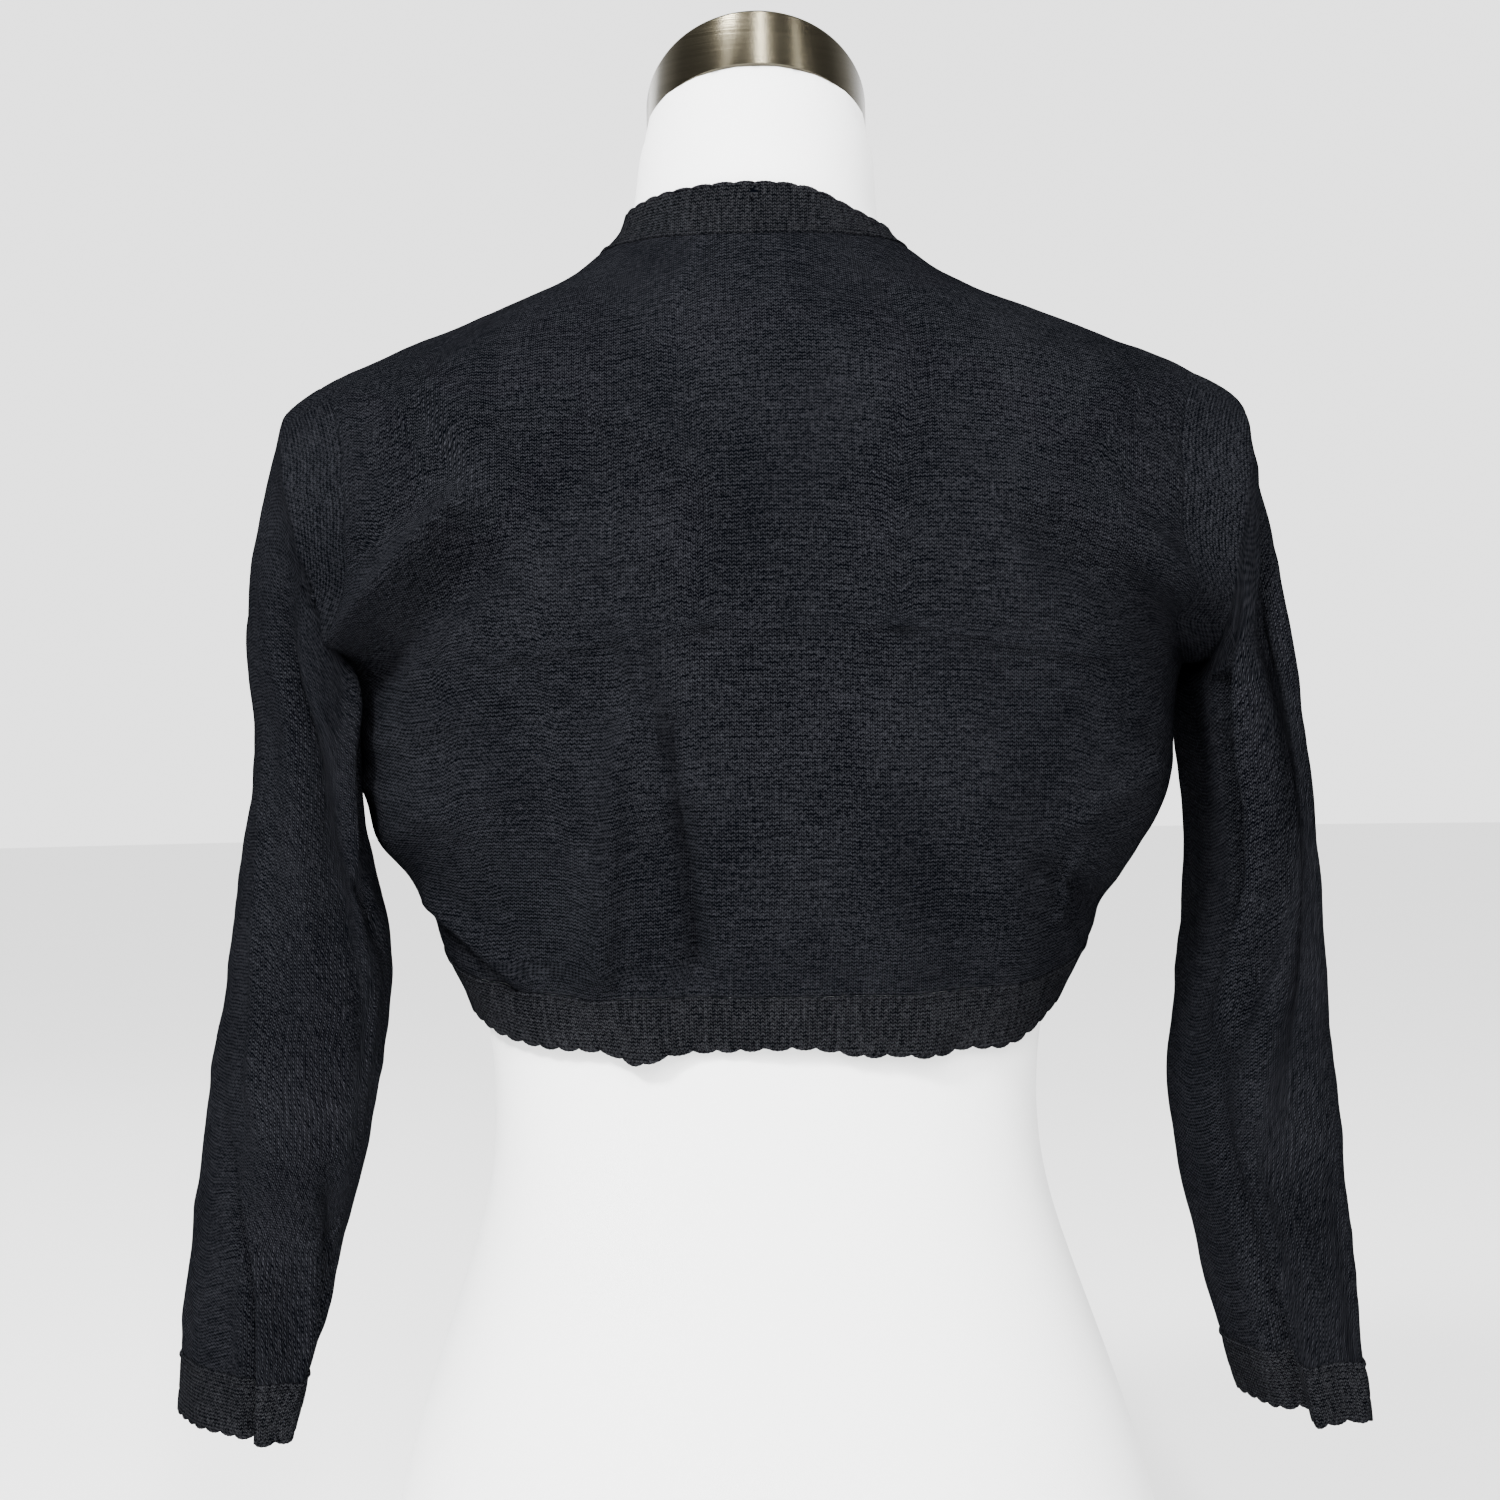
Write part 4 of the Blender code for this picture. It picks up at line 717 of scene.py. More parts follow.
def add_shell(name, points, centre, paint, node, closed=False, thickness=KNIT_THICKNESS, middle=None):
    """A knitted shell over a grid of points, facing away from its centre, in place of a node."""
    rows, columns = points.shape[:2]
    stitches = stitch_map(points, columns // 2 if middle is None else middle)
    number = np.arange(rows * columns).reshape(rows, columns)
    corners = [number[:-1, :-1], number[:-1, 1:], number[1:, 1:], number[1:, :-1]]
    outward = np.cross(points[:-1, 1:] - points[:-1, :-1], points[1:, :-1] - points[:-1, :-1])
    if np.sum(outward * (points - centre)[:-1, :-1]) < 0:
        corners = corners[::-1]
    faces = np.stack(corners, axis=-1).reshape(-1, 4)
    mesh = bpy.data.meshes.new(name)
    mesh.from_pydata((points.reshape(-1, 3) * MM).tolist(), [], faces.tolist())
    layer = mesh.uv_layers.new(name="stitches")
    layer.data.foreach_set("uv", stitches.reshape(-1, 2)[faces.ravel()].ravel())
    mesh.materials.append(paint)
    made = bpy.data.objects.new(name, mesh)
    bpy.context.scene.collection.objects.link(made)
    bpy.ops.object.select_all(action="DESELECT")
    bpy.context.view_layer.objects.active = made
    made.select_set(True)
    if closed:
        bpy.ops.object.mode_set(mode="EDIT")
        bpy.ops.mesh.select_all(action="SELECT")
        bpy.ops.mesh.remove_doubles(threshold=MERGE_DISTANCE * MM)
        bpy.ops.object.mode_set(mode="OBJECT")
    wall = made.modifiers.new("wall", "SOLIDIFY")
    wall.thickness, wall.offset = thickness * MM, -1.0
    bpy.ops.object.modifier_apply(modifier="wall")
    bpy.ops.object.shade_smooth_by_angle(angle=math.radians(CLOTH_SMOOTH_ANGLE))
    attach(made, BODY)
    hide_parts(node)
    lengths = np.linalg.norm(np.diff(points, axis=0), axis=-1).sum(axis=0)
    widths = np.linalg.norm(np.diff(points, axis=1), axis=-1).sum(axis=1)
    width, length = widths.max() * MM, lengths.max() * MM
    area = min(grid_area(points) * MM * MM, width * length)
    print(name, len(made.data.polygons), "faces, flat", round(width, 3), "x", round(length, 3), "m")

# %% [markdown]
# The back and the fronts are ruled grids. Their rows start on an inner line, the centre back or
# the front seam, and end on the side edge, which is the side seam below and the armhole above. The
# top row turns to follow the neck and then the shoulder. The border points are tucked in a little,
# so that a soft groove marks every seam.

# %% Panels
SIDE_ROWS = 48
ARMHOLE_ROWS = 62
NECK_COLUMNS = 40
SHOULDER_COLUMNS = 60
ARMHOLE_STEPS = 1600
FRONT_STEPS = 1200
TOP_HOLD = 4
BLUNT_TIP = 1.6
SEAM_TUCK = 0.16
HALF_GAP = 0.02


def side_edge_angle(height, front):
    """Angle of a panel's side edge: the side seam, the armhole or the shoulder seam."""
    column = "front_x" if front else "back_x"
    armhole = angle_at_x(smooth(ARMHOLE, "height", column, height), height, front)
    in_armhole = (height > UNDERARM_HEIGHT) & (height < SHOULDER_TIP_HEIGHT)
    return np.where(in_armhole, armhole, math.pi / 2)


def armhole_heights():
    """Heights that step evenly along the armhole seam, from the underarm to the shoulder tip."""
    turn = np.linspace(math.pi, 0, ARMHOLE_STEPS)
    heights = UNDERARM_HEIGHT + (SHOULDER_TIP_HEIGHT - UNDERARM_HEIGHT) * (1 + np.cos(turn)) / 2
    lengths = np.zeros(len(heights))
    for front in (False, True):
        points = cloth_point(side_edge_angle(heights, front), heights)
        lengths[1:] += np.cumsum(np.linalg.norm(np.diff(points, axis=0), axis=-1))
    return np.interp(np.linspace(0, lengths[-1], ARMHOLE_ROWS + 1), lengths, heights)


def side_edge(front):
    """Angles and heights up a panel's side edge: the side seam, then the armhole."""
    side_share = np.linspace(0, 1, SIDE_ROWS + 1)[:-1]
    side = SIDE_HEM_HEIGHT + (UNDERARM_HEIGHT - SIDE_HEM_HEIGHT) * side_share
    height = np.concatenate([side, armhole_heights()])
    return side_edge_angle(height, front), height


def ruled(inner, edge, bottom, top):
    """A grid between an inner line and a side edge that also meets a bottom and a top line."""
    grids = []
    rows, columns = len(edge[0]), len(top[0])
    up = np.linspace(0, 1, rows)[:, None]
    out = np.linspace(0, 1, columns)[None, :]
    for line_in, line_edge, line_bottom, line_top in zip(inner, edge, bottom, top):
        plain = line_in[:, None] * (1 - out) + line_edge[:, None] * out
        bottom_miss = line_bottom[None, :] - plain[:1]
        top_miss = line_top[None, :] - plain[-1:]
        grids.append(plain + bottom_miss * (1 - up) ** 2 + top_miss * up**TOP_HOLD)
    return grids


def back_grid():
    """Angles and heights of the back, from the hem seam up to the shoulders."""
    edge = side_edge(False)
    rows, columns = len(edge[0]), NECK_COLUMNS + SHOULDER_COLUMNS + 1
    out = np.linspace(0, math.pi / 2, columns)
    hem = smooth(BACK_HEM_SEAM, "angle", "height", np.degrees(out))
    round_neck = np.linspace(0, math.pi / 2, NECK_COLUMNS + 1)
    neck = smooth(BACK_NECK_SEAM, "angle", "height", np.degrees(round_neck))
    shoulder = np.linspace(NECK_SIDE_HEIGHT, SHOULDER_TIP_HEIGHT, SHOULDER_COLUMNS + 1)[1:]
    top = (np.append(round_neck, np.full(SHOULDER_COLUMNS, math.pi / 2)), np.append(neck, shoulder))
    middle = (np.zeros(rows), np.linspace(hem[0], neck[0], rows))
    angle, height = ruled(middle, edge, (out, hem), top)
    return np.hstack([-angle[:, :0:-1], angle]), np.hstack([height[:, :0:-1], height])


def front_edge_angle(height):
    """Angle of the seam along the front edge."""
    return angle_at_x(smooth(FRONT_SEAM, "height", "x", height), height, True)


def front_grid(sign):
    """Angles and heights of a front, rows from the hem up, columns from its front edge out."""
    side_angle, side_height = side_edge(True)
    side_height[0] += BLUNT_TIP
    dense = np.linspace(SIDE_HEM_HEIGHT, NECK_SIDE_HEIGHT, FRONT_STEPS)
    points = cloth_point(front_edge_angle(dense), dense)
    lengths = np.append(0, np.cumsum(np.linalg.norm(np.diff(points, axis=0), axis=-1)))
    at = np.linspace(BLUNT_TIP, lengths[-1] - BLUNT_TIP, len(side_angle))
    edge_height = np.interp(at, lengths, dense)
    edge_angle = front_edge_angle(edge_height)
    share = np.linspace(0, 1, SHOULDER_COLUMNS + 1)
    bottom = (
        edge_angle[0] + (side_angle[0] - edge_angle[0]) * share,
        edge_height[0] + (side_height[0] - edge_height[0]) * share,
    )
    shoulder = np.linspace(edge_height[-1], SHOULDER_TIP_HEIGHT, SHOULDER_COLUMNS + 1)
    top = (np.append(edge_angle[-1], np.full(SHOULDER_COLUMNS, math.pi / 2)), shoulder)
    angle, height = ruled((edge_angle, edge_height), (side_angle, side_height), bottom, top)
    return sign * angle, height


def tucked(points, normals, borders=("first", "last", "left", "right")):
    """Pulls the chosen border lines of a grid in from their seams and down into the groove."""
    moved = points.copy()
    views = {
        "first": lambda grid: grid,
        "last": lambda grid: grid[::-1],
        "left": lambda grid: grid.transpose(1, 0, 2),
        "right": lambda grid: grid.transpose(1, 0, 2)[::-1],
    }
    for border in borders:
        line, next_line = views[border](points)[:2]
        inward = unit(next_line - line)
        views[border](moved)[0] += inward * HALF_GAP - views[border](normals)[0] * SEAM_TUCK
    return moved


def add_panel(name, angle, height, node, middle=None):
    """A panel's shell from its angles and heights."""
    points = tucked(cloth_surface(angle, height), cloth_normal(angle, height))
    centre = np.array([0.0, SIDE_Y, 0.0]) + points * [0, 0, 1]
    add_shell(name, points, centre, knit, node, middle=middle)


add_panel("knit_back", *back_grid(), "shrug_back")
add_panel("knit_front_right", *front_grid(1), "shrug_front_right", middle=0)
add_panel("knit_front_left", *front_grid(-1), "shrug_front_left", middle=0)

# %% [markdown]
# One scalloped band runs round the whole opening. It is knitted sideways, so its ribs stand
# square to the edge. Each column of its grid starts on the seam and walks over the body towards
# the opening. The free edge is cut back between the scallops and nibbled once a stitch. Across
# its width the band has a rolled ridge at the seam, a hollow, and a faint line where its hem is
# turned under.

# %% Bands
BAND_WIDTH = 23.5
BAND_THICKNESS = 1.7
SCALLOP_PITCH = 9.6
SCALLOP_ROUNDNESS = 2.2
SCALLOP_DEPTHS = {"neck": 0.8, "front": 1.3, "hem": 1.4, "cuff": 1.5}
SHOULDER_FADE = 45.0
COLUMNS_PER_SCALLOP = 20
NIBBLE = 0.22
EDGE_HOLD = 6
WALK_STEPS = 5
ROUND_SEAM_STEPS = 400
EVEN_STEPS = 900
SMOOTHING_STEPS = 25
ACROSS_BAND = [0, 0.02, 0.05, 0.08, 0.11, 0.14, 0.18, 0.24, 0.32, 0.42, 0.52, 0.6, 0.64, 0.68, 0.76,
               0.84, 0.91, 0.96, 1.0]
BAND_STAND_OFF = 0.25
BandRelief = namedtuple("BandRelief", "height at width")
BAND_RELIEFS = [
    BandRelief(0.55, 0.07, 0.04),
    BandRelief(-0.30, 0.15, 0.03),
    BandRelief(-0.25, 0.64, 0.03),
]


def band_profile(share):
    """How far the band stands off the body across its width."""
    rise = BAND_STAND_OFF
    for relief in BAND_RELIEFS:
        rise = rise + relief.height * np.exp(-(((share - relief.at) / relief.width) ** 2))
    return rise - SEAM_TUCK * (share == 0)


def walk(angle, height, direction, distance):
    """The angle and height reached by going a distance over the cloth in a direction."""
    for _ in range(WALK_STEPS):
        by_angle, by_height = cloth_slopes(angle, height)
        normal = unit(np.cross(by_angle, by_height))
        flat = unit(direction - normal * np.sum(direction * normal, -1, keepdims=True))
        move = flat * (distance / WALK_STEPS)[..., None]
        aa = np.sum(by_angle * by_angle, -1)
        ah = np.sum(by_angle * by_height, -1)
        hh = np.sum(by_height * by_height, -1)
        ma = np.sum(move * by_angle, -1)
        mh = np.sum(move * by_height, -1)
        scale = aa * hh - ah * ah
        angle = angle + (ma * hh - mh * ah) / scale
        height = height + (mh * aa - ma * ah) / scale
    return angle, height


def edge_drop(part, turns, at):
    """How much shorter a part's edge is; turns counts the scallops passed at a length along it."""
    phase = np.abs((turns % 1.0) * 2 - 1)
    nibbles = NIBBLE * np.abs(np.sin(math.pi * at / WALE))
    return SCALLOP_DEPTHS[part] * phase**SCALLOP_ROUNDNESS + nibbles


def seam_line():
    """The seam round the right half of the opening, and the direction from it to the opening."""
    angle = np.linspace(0, math.pi / 2, ROUND_SEAM_STEPS)
    neck = smooth(BACK_NECK_SEAM, "angle", "height", np.degrees(angle))
    hem = smooth(BACK_HEM_SEAM, "angle", "height", np.degrees(angle))
    down = np.linspace(NECK_SIDE_HEIGHT, SIDE_HEM_HEIGHT, FRONT_STEPS)
    angles = np.concatenate([angle[:-1], front_edge_angle(down), angle[::-1][1:]])
    heights = np.concatenate([neck[:-1], down, hem[::-1][1:]])
    points = cloth_point(angles, heights)
    length = np.append(0, np.cumsum(np.linalg.norm(np.diff(points, axis=0), axis=-1)))
    even = np.linspace(0, length[-1], EVEN_STEPS)
    even_angle, even_height = np.interp(even, length, angles), np.interp(even, length, heights)
    along = np.gradient(cloth_point(even_angle, even_height), axis=0)
    kernel = np.hanning(SMOOTHING_STEPS) / np.hanning(SMOOTHING_STEPS).sum()
    more, flip = SMOOTHING_STEPS - 1, [1, -1, -1]
    before, after = along[more:0:-1] * flip, along[-2 : -2 - more : -1] * flip
    mirrored = np.concatenate([before, along, after])
    along = np.stack([np.convolve(mirrored[:, k], kernel, "same")[more:-more] for k in range(3)], -1)
    to_opening = unit(np.cross(cloth_normal(even_angle, even_height), unit(along)))
    shoulder = length[ROUND_SEAM_STEPS - 1]
    side = length[ROUND_SEAM_STEPS + FRONT_STEPS - 2]
    ends = {"neck": (0, shoulder), "front": (shoulder, side), "hem": (side, length[-1])}
    return even, even_angle, even_height, to_opening, ends


def extra_reach(part, x):
    """How much wider a band is at its waves."""
    waves = [wave for wave in BAND_WAVES if wave.part == part]
    return sum((w.longer * np.exp(-(((x - w.x) / w.width) ** 2)) for w in waves), np.zeros_like(x))


def band_half(part, sign):
    """Angles and heights of a band's grid on one side of the body."""
    even, even_angle, even_height, to_opening, ends = seam_line()
    start, end = ends[part]
    scallops = round((end - start) / SCALLOP_PITCH)
    at = np.linspace(start + HALF_GAP, end - HALF_GAP, scallops * COLUMNS_PER_SCALLOP + 1)
    turns = (at - start) / (end - start) * scallops
    angle, height = np.interp(at, even, even_angle), np.interp(at, even, even_height)
    direction = np.stack([np.interp(at, even, to_opening[:, k]) for k in range(3)], -1)
    x = sign * cloth_point(angle, height)[..., 0]
    width = BAND_WIDTH + extra_reach(part, x)
    if part == "front":
        width = width + extra_reach("neck", x[:1]) * (1 - ease(0, SHOULDER_FADE, at - start))
    edge = edge_drop(part, turns, at)
    rows = []
    for share in ACROSS_BAND:
        reach = HALF_GAP + (width - HALF_GAP) * share - edge * share**EDGE_HOLD
        one_angle, one_height = walk(angle, height, direction, reach)
        rows.append((sign * one_angle, one_height))
    return np.array([row[0] for row in rows]), np.array([row[1] for row in rows])


def add_band(name, angle, height, node):
    """A band's shell from its angles and heights."""
    lift = np.broadcast_to(band_profile(np.array(ACROSS_BAND))[:, None], angle.shape)
    points = cloth_surface(angle, height, lift)
    centre = np.array([0.0, SIDE_Y, 0.0]) + points * [0, 0, 1]
    add_shell(name, points, centre, band_knit, node, thickness=BAND_THICKNESS)


def whole_band(part):
    """A band's grid right across the back, its two halves joined at the centre back."""
    right, left = band_half(part, 1), band_half(part, -1)
    if part == "neck":
        return [np.hstack([far[:, :0:-1], near]) for far, near in zip(left, right)]
    return [np.hstack([near, far[:, -2::-1]]) for far, near in zip(left, right)]


add_band("knit_neck_band", *whole_band("neck"), "neck_band")
add_band("knit_hem_band", *whole_band("hem"), "hem_band")
add_band("knit_front_band_right", *band_half("front", 1), "front_band_right")
add_band("knit_front_band_left", *band_half("front", -1), "front_band_left")

# %% [markdown]
# An empty sleeve hangs as a flattened tube that creases along its length. Stations down the sleeve
# give its outer and inner line as seen from the back, and how deep it is. Creases follow paths
# over the tube: at each point of a path the cloth is pressed in by a depth, and pushed sideways by
# its lean, so that one side of the crease folds over the other.

# %% Sleeve stations and creases
Station = namedtuple("Station", "outer_x outer_z inner_x inner_z back front skew")
RIGHT_SLEEVE = [
    Station(194.1, 616, 183, 498.5, -69, 58, 0),
    Station(200, 608, 184, 497.5, -68, 60, 2),
    Station(202.5, 595, 181, 496, -67, 60, 4),
    Station(205.7, 577, 179.5, 494, -66, 60, 5),
    Station(209.5, 557, 179, 491.5, -65, 59, 6),
    Station(213.4, 535, 179, 488, -64, 58, 7),
    Station(217.7, 508, 180, 480, -63, 57, 8),
    Station(221.7, 475, 182, 459, -62, 56, 9),
    Station(224.9, 440, 184.8, 430, -61, 55, 10),
    Station(227.6, 402, 183.5, 397, -60, 53, 11),
    Station(230.7, 364, 178.9, 361, -58, 51, 12),
    Station(233, 328, 174.7, 326, -56, 49, 12),
    Station(236.8, 293, 175.9, 292, -53, 47, 12),
    Station(240.3, 260, 181.9, 261, -50, 45, 12),
    Station(242.9, 231, 187.7, 232, -48, 43, 12),
    Station(244.5, 206, 193.8, 206, -46, 41, 12),
    Station(247.3, 180, 202.4, 180, -45, 40, 12),
]
LEFT_SLEEVE = [
    Station(194.1, 616.5, 182.5, 498.5, -69, 58, 0),
    Station(201.9, 608, 182, 497.5, -68, 60, -2),
    Station(207.4, 594, 177, 496, -67, 60, -4),
    Station(213.1, 576, 172.5, 494, -66, 60, -6),
    Station(218.9, 557, 170.3, 491.5, -65, 59, -8),
    Station(224, 533, 169.5, 488, -64, 58, -10),
    Station(226.5, 505, 169.3, 480, -63, 57, -12),
    Station(225.2, 474, 169.3, 458, -62, 56, -14),
    Station(229.5, 436, 167.1, 430, -61, 55, -16),
    Station(234.8, 398, 159.1, 395, -60, 53, -17),
    Station(240.2, 362, 159.4, 360, -58, 51, -18),
    Station(247, 326, 165.1, 326, -56, 49, -19),
    Station(251.3, 292, 171.2, 294, -53, 47, -20),
    Station(256.4, 260, 180.3, 262, -50, 45, -20),
    Station(260, 231, 187.8, 232, -48, 43, -20),
    Station(262.5, 206, 194.9, 206, -46, 41, -20),
    Station(264.4, 180, 200.8, 180, -45, 40, -20),
]
Trough = namedtuple("Trough", "width lean path")
PathPoint = namedtuple("PathPoint", "station angle depth")
RIGHT_TROUGHS = [
    Trough(6, 0.0, [
        PathPoint(3.0, 86, 0), PathPoint(4.2, 100, -3), PathPoint(5.5, 112, -6),
        PathPoint(7.6, 130, -7), PathPoint(9.1, 134, -7), PathPoint(10.0, 138, -7),
        PathPoint(10.7, 150, -6), PathPoint(11.2, 158, -4), PathPoint(11.8, 162, 0),
    ]),
    Trough(6, 4.0, [
        PathPoint(4.0, 66, 0), PathPoint(5.6, 88, 6), PathPoint(7.7, 104, 8),
        PathPoint(9.5, 118, 8), PathPoint(10.4, 128, 8), PathPoint(11.2, 140, 6),
        PathPoint(12.2, 148, 0),
    ]),
    Trough(13, -3.0, [
        PathPoint(3.4, 40, 0), PathPoint(4.6, 54, 6), PathPoint(5.6, 70, 11),
        PathPoint(7.7, 92, 15), PathPoint(9.5, 102, 15), PathPoint(10.4, 106, 13),
        PathPoint(11.6, 112, 8), PathPoint(13.0, 114, 0),
    ]),
    Trough(5, 0.0, [
        PathPoint(7.4, 160, 0), PathPoint(8.1, 158, 5), PathPoint(9.2, 154, 6),
        PathPoint(10.0, 156, 5), PathPoint(10.7, 168, 3), PathPoint(11.2, 172, 0),
    ]),
    Trough(8, -3.0, [
        PathPoint(5.6, 152, 0), PathPoint(6.6, 148, 6), PathPoint(7.4, 146, 5),
        PathPoint(8.2, 142, 0),
    ]),
    Trough(7, 0.0, [
        PathPoint(11.4, 158, 0), PathPoint(12.9, 156, 6), PathPoint(14.3, 148, 7),
        PathPoint(15.4, 144, 8), PathPoint(16.5, 148, 8), PathPoint(17.0, 150, 7),
    ]),
    Trough(6, 0.0, [
        PathPoint(12.4, 118, 0), PathPoint(13.3, 114, -4), PathPoint(14.4, 105, -5),
        PathPoint(15.4, 106, -5), PathPoint(16.5, 116, -5), PathPoint(17.0, 118, -5),
    ]),
    Trough(12, -4.0, [
        PathPoint(12.0, 96, 0), PathPoint(13.5, 88, 4), PathPoint(15.5, 84, 5),
        PathPoint(17.0, 86, 5),
    ]),
    Trough(12, 0.0, [
        PathPoint(3.0, 276, 0), PathPoint(6.0, 282, 7), PathPoint(9.0, 288, 7),
        PathPoint(13.0, 300, 0),
    ]),
    Trough(12, 0.0, [
        PathPoint(9.0, 338, 0), PathPoint(12.0, 326, 6), PathPoint(17.0, 314, 7),
    ]),
    Trough(12, 0.0, [
        PathPoint(10.0, 240, 0), PathPoint(13.0, 246, 6), PathPoint(17.0, 250, 5),
    ]),
]
LEFT_TROUGHS = [
    Trough(8, 3.0, [
        PathPoint(4.0, 78, 0), PathPoint(5.4, 75, 4), PathPoint(6.8, 72, 9),
        PathPoint(7.9, 81, 10), PathPoint(9.2, 90, 10), PathPoint(10.2, 96, 8),
        PathPoint(11.2, 112, 5), PathPoint(12.2, 118, 0),
    ]),
    Trough(6, 0.0, [
        PathPoint(4.0, 134, 0), PathPoint(6.0, 130, -4), PathPoint(7.0, 126, -6),
        PathPoint(8.1, 116, -6), PathPoint(9.1, 112, -6), PathPoint(9.7, 108, -3),
        PathPoint(10.5, 106, 0),
    ]),
    Trough(8, 0.0, [
        PathPoint(2.5, 150, 0), PathPoint(4.5, 155, 6), PathPoint(6.5, 152, 9),
        PathPoint(8.0, 142, 7), PathPoint(9.0, 136, 0),
    ]),
    Trough(6, 0.0, [
        PathPoint(8.6, 98, 0), PathPoint(9.2, 104, 5), PathPoint(9.6, 112, 7),
        PathPoint(10.0, 125, 6), PathPoint(10.6, 140, 0),
    ]),
    Trough(7, 0.0, [
        PathPoint(7.6, 28, 0), PathPoint(8.6, 32, -4), PathPoint(9.6, 36, -5),
        PathPoint(10.2, 39, -5), PathPoint(11.9, 50, -4), PathPoint(12.8, 56, 0),
    ]),
    Trough(19, 0.0, [
        PathPoint(11.5, 20, 0), PathPoint(13.5, 28, 5), PathPoint(15.5, 38, 7),
        PathPoint(17.0, 42, 7),
    ]),
    Trough(6, 4.0, [
        PathPoint(11.6, 4, 0), PathPoint(13.2, 20, 7), PathPoint(14.1, 48, 9),
        PathPoint(15.2, 60, 10), PathPoint(16.3, 66, 10), PathPoint(17.0, 68, 10),
    ]),
    Trough(6, 0.0, [
        PathPoint(12.6, 32, 0), PathPoint(13.2, 38, -2), PathPoint(14.1, 68, -4),
        PathPoint(15.2, 80, -4), PathPoint(17.0, 86, -4),
    ]),
    Trough(6, 0.0, [
        PathPoint(12.6, 84, 0), PathPoint(13.2, 88, -3), PathPoint(14.4, 104, -5),
        PathPoint(15.6, 112, -4), PathPoint(16.6, 114, 0),
    ]),
    Trough(7, 0.0, [
        PathPoint(12.6, 96, 0), PathPoint(13.1, 100, 4), PathPoint(14.3, 124, 7),
        PathPoint(15.4, 138, 7), PathPoint(17.0, 142, 6),
    ]),
    Trough(12, 0.0, [
        PathPoint(3.0, 268, 0), PathPoint(6.0, 262, 7), PathPoint(9.0, 258, 7),
        PathPoint(13.0, 262, 0),
    ]),
    Trough(12, 0.0, [
        PathPoint(9.0, 322, 0), PathPoint(12.0, 314, 6), PathPoint(17.0, 306, 7),
    ]),
    Trough(12, 0.0, [
        PathPoint(10.0, 218, 0), PathPoint(13.0, 222, 6), PathPoint(17.0, 228, 6),
    ]),
]
print("creases:", len(RIGHT_TROUGHS) + len(LEFT_TROUGHS))

# %% [markdown]
# The first ring of a sleeve is the armhole seam itself, and the next few blend from it into the
# tube. The stitch map is measured both ways from the outer line, so the wales meet under the arm,
# where a real sleeve has its seam.

# %% Sleeves and cuffs
BLEND_ROWS = 8
TUBE_ROWS = 150
CUFF_STEPS = 1440
ARMHOLE_STATION = 1
TUBE_STATION = 2
CUFF_SEAM_STATION = 16
CUFF_EDGE_STATION = 17
CUFF_WIDTH = 25.0
SLEEVE_POWER = 0.76
ARMHOLE_CENTRE = 560.0
THINNEST_TUBE = 25.0
LEAN_DEPTH = 10
SLEEVE_UNEVENNESS = [
    Unevenness(28.0, 1.5, 3.0),
    Unevenness(11.0, 0.5, 5.0),
]


def station_value(stations, column, at):
    """A station's column at a place between stations, where station 1 is the first row."""
    numbered = namedtuple("Numbered", "number value")
    rows = [numbered(k + 1, getattr(s, column)) for k, s in enumerate(stations)]
    return smooth(rows, "number", "value", at)


def tube_point(stations, angle, at):
    """Point of a sleeve's tube before its creases, with x measured outwards."""
    outer_x, outer_z, inner_x, inner_z, back, front, skew = (
        station_value(stations, column, at) for column in Station._fields
    )
    half_x, half_z = (outer_x - inner_x) / 2, (outer_z - inner_z) / 2
    bulk = 2 / (2 - SLEEVE_POWER)
    half_x = np.maximum(half_x**bulk - np.abs(skew) ** bulk, THINNEST_TUBE) ** (1 / bulk)
    across = np.sign(np.cos(angle)) * np.abs(np.cos(angle)) ** SLEEVE_POWER
    deep = np.sign(np.sin(angle)) * np.abs(np.sin(angle)) ** SLEEVE_POWER
    middle = (back + front) / 2
    x = (outer_x + inner_x) / 2 + half_x * across + skew * deep
    y = middle + (back - middle) * deep
    z = (outer_z + inner_z) / 2 + half_z * across
    return np.stack([x, y, z], axis=-1)


def crease_push(troughs, stations, angle, at):
    """How deep the creases press in, and how far sideways, where a lean is for a LEAN_DEPTH crease."""
    depth, sideways = np.zeros_like(angle), np.zeros_like(angle)
    reach = (station_value(stations, "front", at) - station_value(stations, "back", at)) / 2
    wide = (station_value(stations, "outer_x", at) - station_value(stations, "inner_x", at)) / 2
    radius = np.sqrt((reach**2 + wide**2) / 2)
    for trough in troughs:
        inside = (at >= trough.path[0].station) & (at <= trough.path[-1].station)
        centre = np.radians(smooth(trough.path, "station", "angle", at))
        deep = smooth(trough.path, "station", "depth", at) * inside
        away = (angle - centre + math.pi) % FULL_TURN - math.pi
        shape = np.exp(-((away * radius / trough.width) ** 2))
        depth = depth + deep * shape
        sideways = sideways + trough.lean * np.abs(deep) / LEAN_DEPTH * shape
    return depth, sideways


def creased_point(stations, troughs, angle, at):
    """Point of a sleeve's outer face with its creases, x measured outwards."""
    d_angle, d_at = 0.01, 0.02
    by_angle = tube_point(stations, angle + d_angle, at) - tube_point(stations, angle - d_angle, at)
    by_at = tube_point(stations, angle, at + d_at) - tube_point(stations, angle, at - d_at)
    normal = unit(np.cross(by_angle, by_at))
    depth, sideways = crease_push(troughs, stations, angle, at)
    point = tube_point(stations, angle, at)
    for uneven in SLEEVE_UNEVENNESS:
        depth = depth + gentle_noise(point, *uneven)
    return point + unit(by_angle) * sideways[..., None] - normal * depth[..., None], normal


